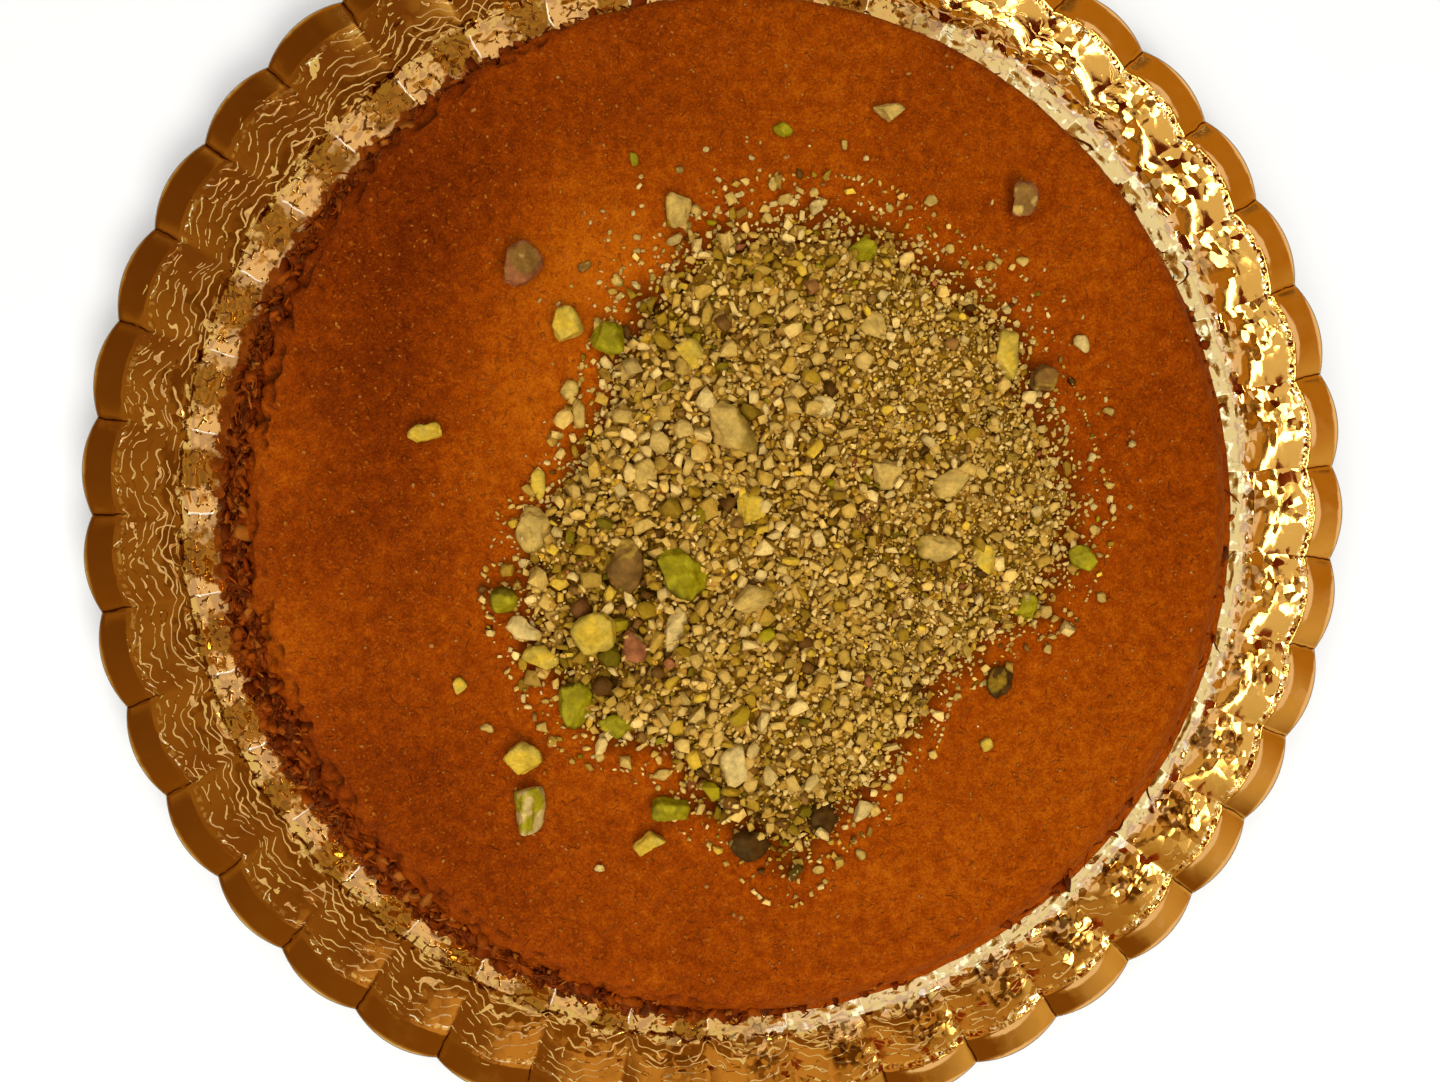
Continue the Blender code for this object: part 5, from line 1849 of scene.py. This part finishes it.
def join_tubes(name, points, colours, material, nodes):
    """One piece from many tubes, each closed by flat ends."""
    count, rings, sides = points.shape[:3]
    first = (np.arange(count) * rings * sides)[:, None, None]
    walls = ring_faces(rings, sides)[None] + first
    low_end = np.arange(sides)[::-1][None, None] + first
    high_end = (np.arange(sides) + (rings - 1) * sides)[None, None] + first
    faces = [walls.reshape(-1, 4), low_end.reshape(-1, sides), high_end.reshape(-1, sides)]
    piece = make_piece(name, points.reshape(-1, 3), faces, [material], nodes)
    add_colours(piece, np.repeat(colours, rings * sides, 0))
    return piece


def strand_material():
    """Fried strand: the colour of its points, darker in spots, with a thin greasy sheen."""
    material, tree, shader = new_material("fried_strand", 0.4, specular=0.15, tint=CRUST_SHEEN)
    tone = value_of(tree, "tone", "Color")
    tone = blend(tree, times(tree, grain(tree, 1.4 * MM, 2.0), 0.4), tone, paint(84, 26, 2))
    tree.links.new(tone, shader.inputs["Base Color"])
    bump(tree, shader, grain(tree, 0.4 * MM), 0.05 * MM)
    return material


STRAND = strand_material()
print("strand helpers ready")

# %% [markdown]
# The torn side is rougher than any skin can be: threads that loop out of it and
# flakes at all angles, which shade each other. They are placed as often as the
# side is torn, and a few are pale, because their outer ends browned less.

# %% Strands and flakes of the side
def on_side(angle, level, out):
    """Point on the side at an angle, at a level from 0 to 1 of its height, moved outwards."""
    height = level * 14.6 * MM
    share = np.interp(height, SIDE_HEIGHTS, SIDE_SHARES)
    x, y = outline(angle, share, np.interp(height, SIDE_HEIGHTS, SIDE_STEPS) + out)
    return np.stack((x, y, FOOT + 0.6 * MM + height), -1)


def torn_places(count, draw):
    """Angles round the side, kept as often as the side is torn there."""
    angle = draw.uniform(0, TAU, count)
    return angle[draw.random(count) < torn(angle)]


def side_tones(count, draw):
    """Dark fried colours, a few of them pale."""
    names = np.array([paint(96, 30, 2), paint(136, 50, 3), paint(172, 76, 8), paint(196, 110, 32)])
    return names[draw.choice(4, count, p=(0.32, 0.38, 0.23, 0.07))] * draw.uniform(0.8, 1.2, (count, 1))


def add_side_strands(count, draw):
    """Short loose strands over the torn side, kept above the tray."""
    angle = torn_places(count, draw)
    count = len(angle)
    starts = on_side(angle, draw.uniform(0.02, 0.80, count), draw.uniform(-0.9, 0.6, count) * MM)
    round_it = np.stack((-np.sin(angle), np.cos(angle), np.zeros(count)), -1)
    outward = np.stack((np.cos(angle), np.sin(angle), np.zeros(count)), -1)
    side = np.where(draw.random(count) < 0.5, -1.0, 1.0)[:, None]
    along = unit_rows(side * round_it + outward * draw.normal(-0.1, 0.6, (count, 1))
                      + np.array((0.0, 0.0, 1.0)) * draw.normal(0.05, 0.5, (count, 1)))
    bend = draw.normal(0, 0.6, (count, 3)) - 0.2 * outward
    length = np.clip(3.4 * np.exp(0.4 * draw.normal(size=count)), 1.6, 7.0) * MM
    thickness = draw.uniform(0.35, 0.75, count) * MM
    points = tubes(starts, along, bend, length, thickness, rings=5, sides=5)
    points[..., 2] = np.maximum(points[..., 2], FOOT + 0.1 * MM)
    return join_tubes("side_strands", points, side_tones(count, draw), STRAND, ["kunafa"])


def add_side_flakes(count, draw):
    """Broken flakes of crust that stick out of the torn side at all angles."""
    angle = torn_places(count, draw)
    count = len(angle)
    places = on_side(angle, draw.uniform(0.05, 0.78, count), draw.uniform(-1.2, 0.4, count) * MM)
    length = np.clip(3.1 * np.exp(0.42 * draw.normal(size=count)), 1.0, 6.5) * MM
    width, height = length * draw.uniform(0.4, 0.8, count), length * draw.uniform(0.15, 0.4, count)
    sizes = np.stack((length, width, height), -1)
    points = crumbs(places, sizes, draw, CHIP, lean=0.8, pull=0.6)
    points[..., 2] = np.maximum(points[..., 2], FOOT + 0.1 * MM)
    return join_crumbs("side_flakes", [(points, side_tones(count, draw), CHIP)], STRAND, ["kunafa"])


# What is added, how many are tried, and the seed of its draws
for add_many, count, seed in ((add_side_strands, 2700, 12), (add_side_flakes, 3900, 15)):
    piece = add_many(count, np.random.default_rng(seed))
    print(f"{piece.name} triangles:", triangles_of(piece))

# %% [markdown]
# On the top the threads lie flat and only their ends show, as short pale or
# brown lines, with a few crisp pale grains between them. They take their tone
# from the browning where they lie, so the dark and pale spots stay as they are.

# %% Fibres and specks of the top
def over_top(count, draw, least, inset, past):
    """Places over the top that lie past a share of the heap, evenly by area, up to an inset from the edge."""
    angle = draw.uniform(0, TAU, count)
    share = np.sqrt(draw.uniform(least, 1.0, count))
    x = TOP_CENTRE[0] + (TOP_RADII[0] - inset) * share * np.cos(angle)
    y = TOP_CENTRE[1] + (TOP_RADII[1] - inset) * share * np.sin(angle)
    clear = heap_share(x, y) > past
    return x[clear], y[clear]


def add_top_fibres(count, draw):
    """Short ends of dough that lie on the top and over its rounded edge."""
    x, y = over_top(count, draw, 0.12, 3 * MM, 0.9)
    count = len(x)
    starts = np.stack((x, y, TOP + top_relief(x, y) + draw.uniform(-0.05, 0.04, count) * MM), -1)
    turn = draw.uniform(0, TAU, count)
    along = np.stack((np.cos(turn), np.sin(turn), draw.normal(0, 0.05, count)), -1)
    bend = draw.normal(0, 0.5, (count, 3)) * (1, 1, 0.1)
    length = np.clip(1.5 * np.exp(0.4 * draw.normal(size=count)), 0.7, 3.4) * MM
    thickness = draw.uniform(0.22, 0.42, count) * MM
    points = tubes(starts, along, bend, length, thickness, rings=3, sides=4)
    dark = browning(x, y)[:, None]
    pale, brown = paint(190, 100, 28), paint(112, 42, 3)
    tones = pale * (1 - np.clip(dark, 0, 1)) + brown * np.clip(dark, 0, 1)
    tones = tones * np.exp(0.22 * draw.normal(size=(count, 1)))
    return join_tubes("top_fibres", points, tones, STRAND, ["kunafa"])


def add_specks(count, draw):
    """Pale grains of crisp dough on the top, about two to a square centimetre."""
    x, y = over_top(count, draw, 0.0, 2 * MM, 0.97)
    sizes = crumb_sizes(len(x), draw, 0.75 * MM, 0.3, 0.4 * MM, 1.5 * MM)
    places = np.stack((x, y, TOP + top_relief(x, y) + 0.1 * sizes[:, 2]), -1)
    names = np.array([paint(206, 116, 34), paint(222, 146, 66), paint(184, 92, 20)])
    tones = names[draw.choice(3, len(x), p=(0.45, 0.2, 0.35))]
    groups = [(crumbs(places, sizes, draw, CHIP), tones, CHIP)]
    return join_crumbs("crust_specks", groups, STRAND, ["kunafa"])


for add_many, count, seed in ((add_top_fibres, 6500, 13), (add_specks, 1500, 14)):
    piece = add_many(count, np.random.default_rng(seed))
    print(f"{piece.name} triangles:", triangles_of(piece))
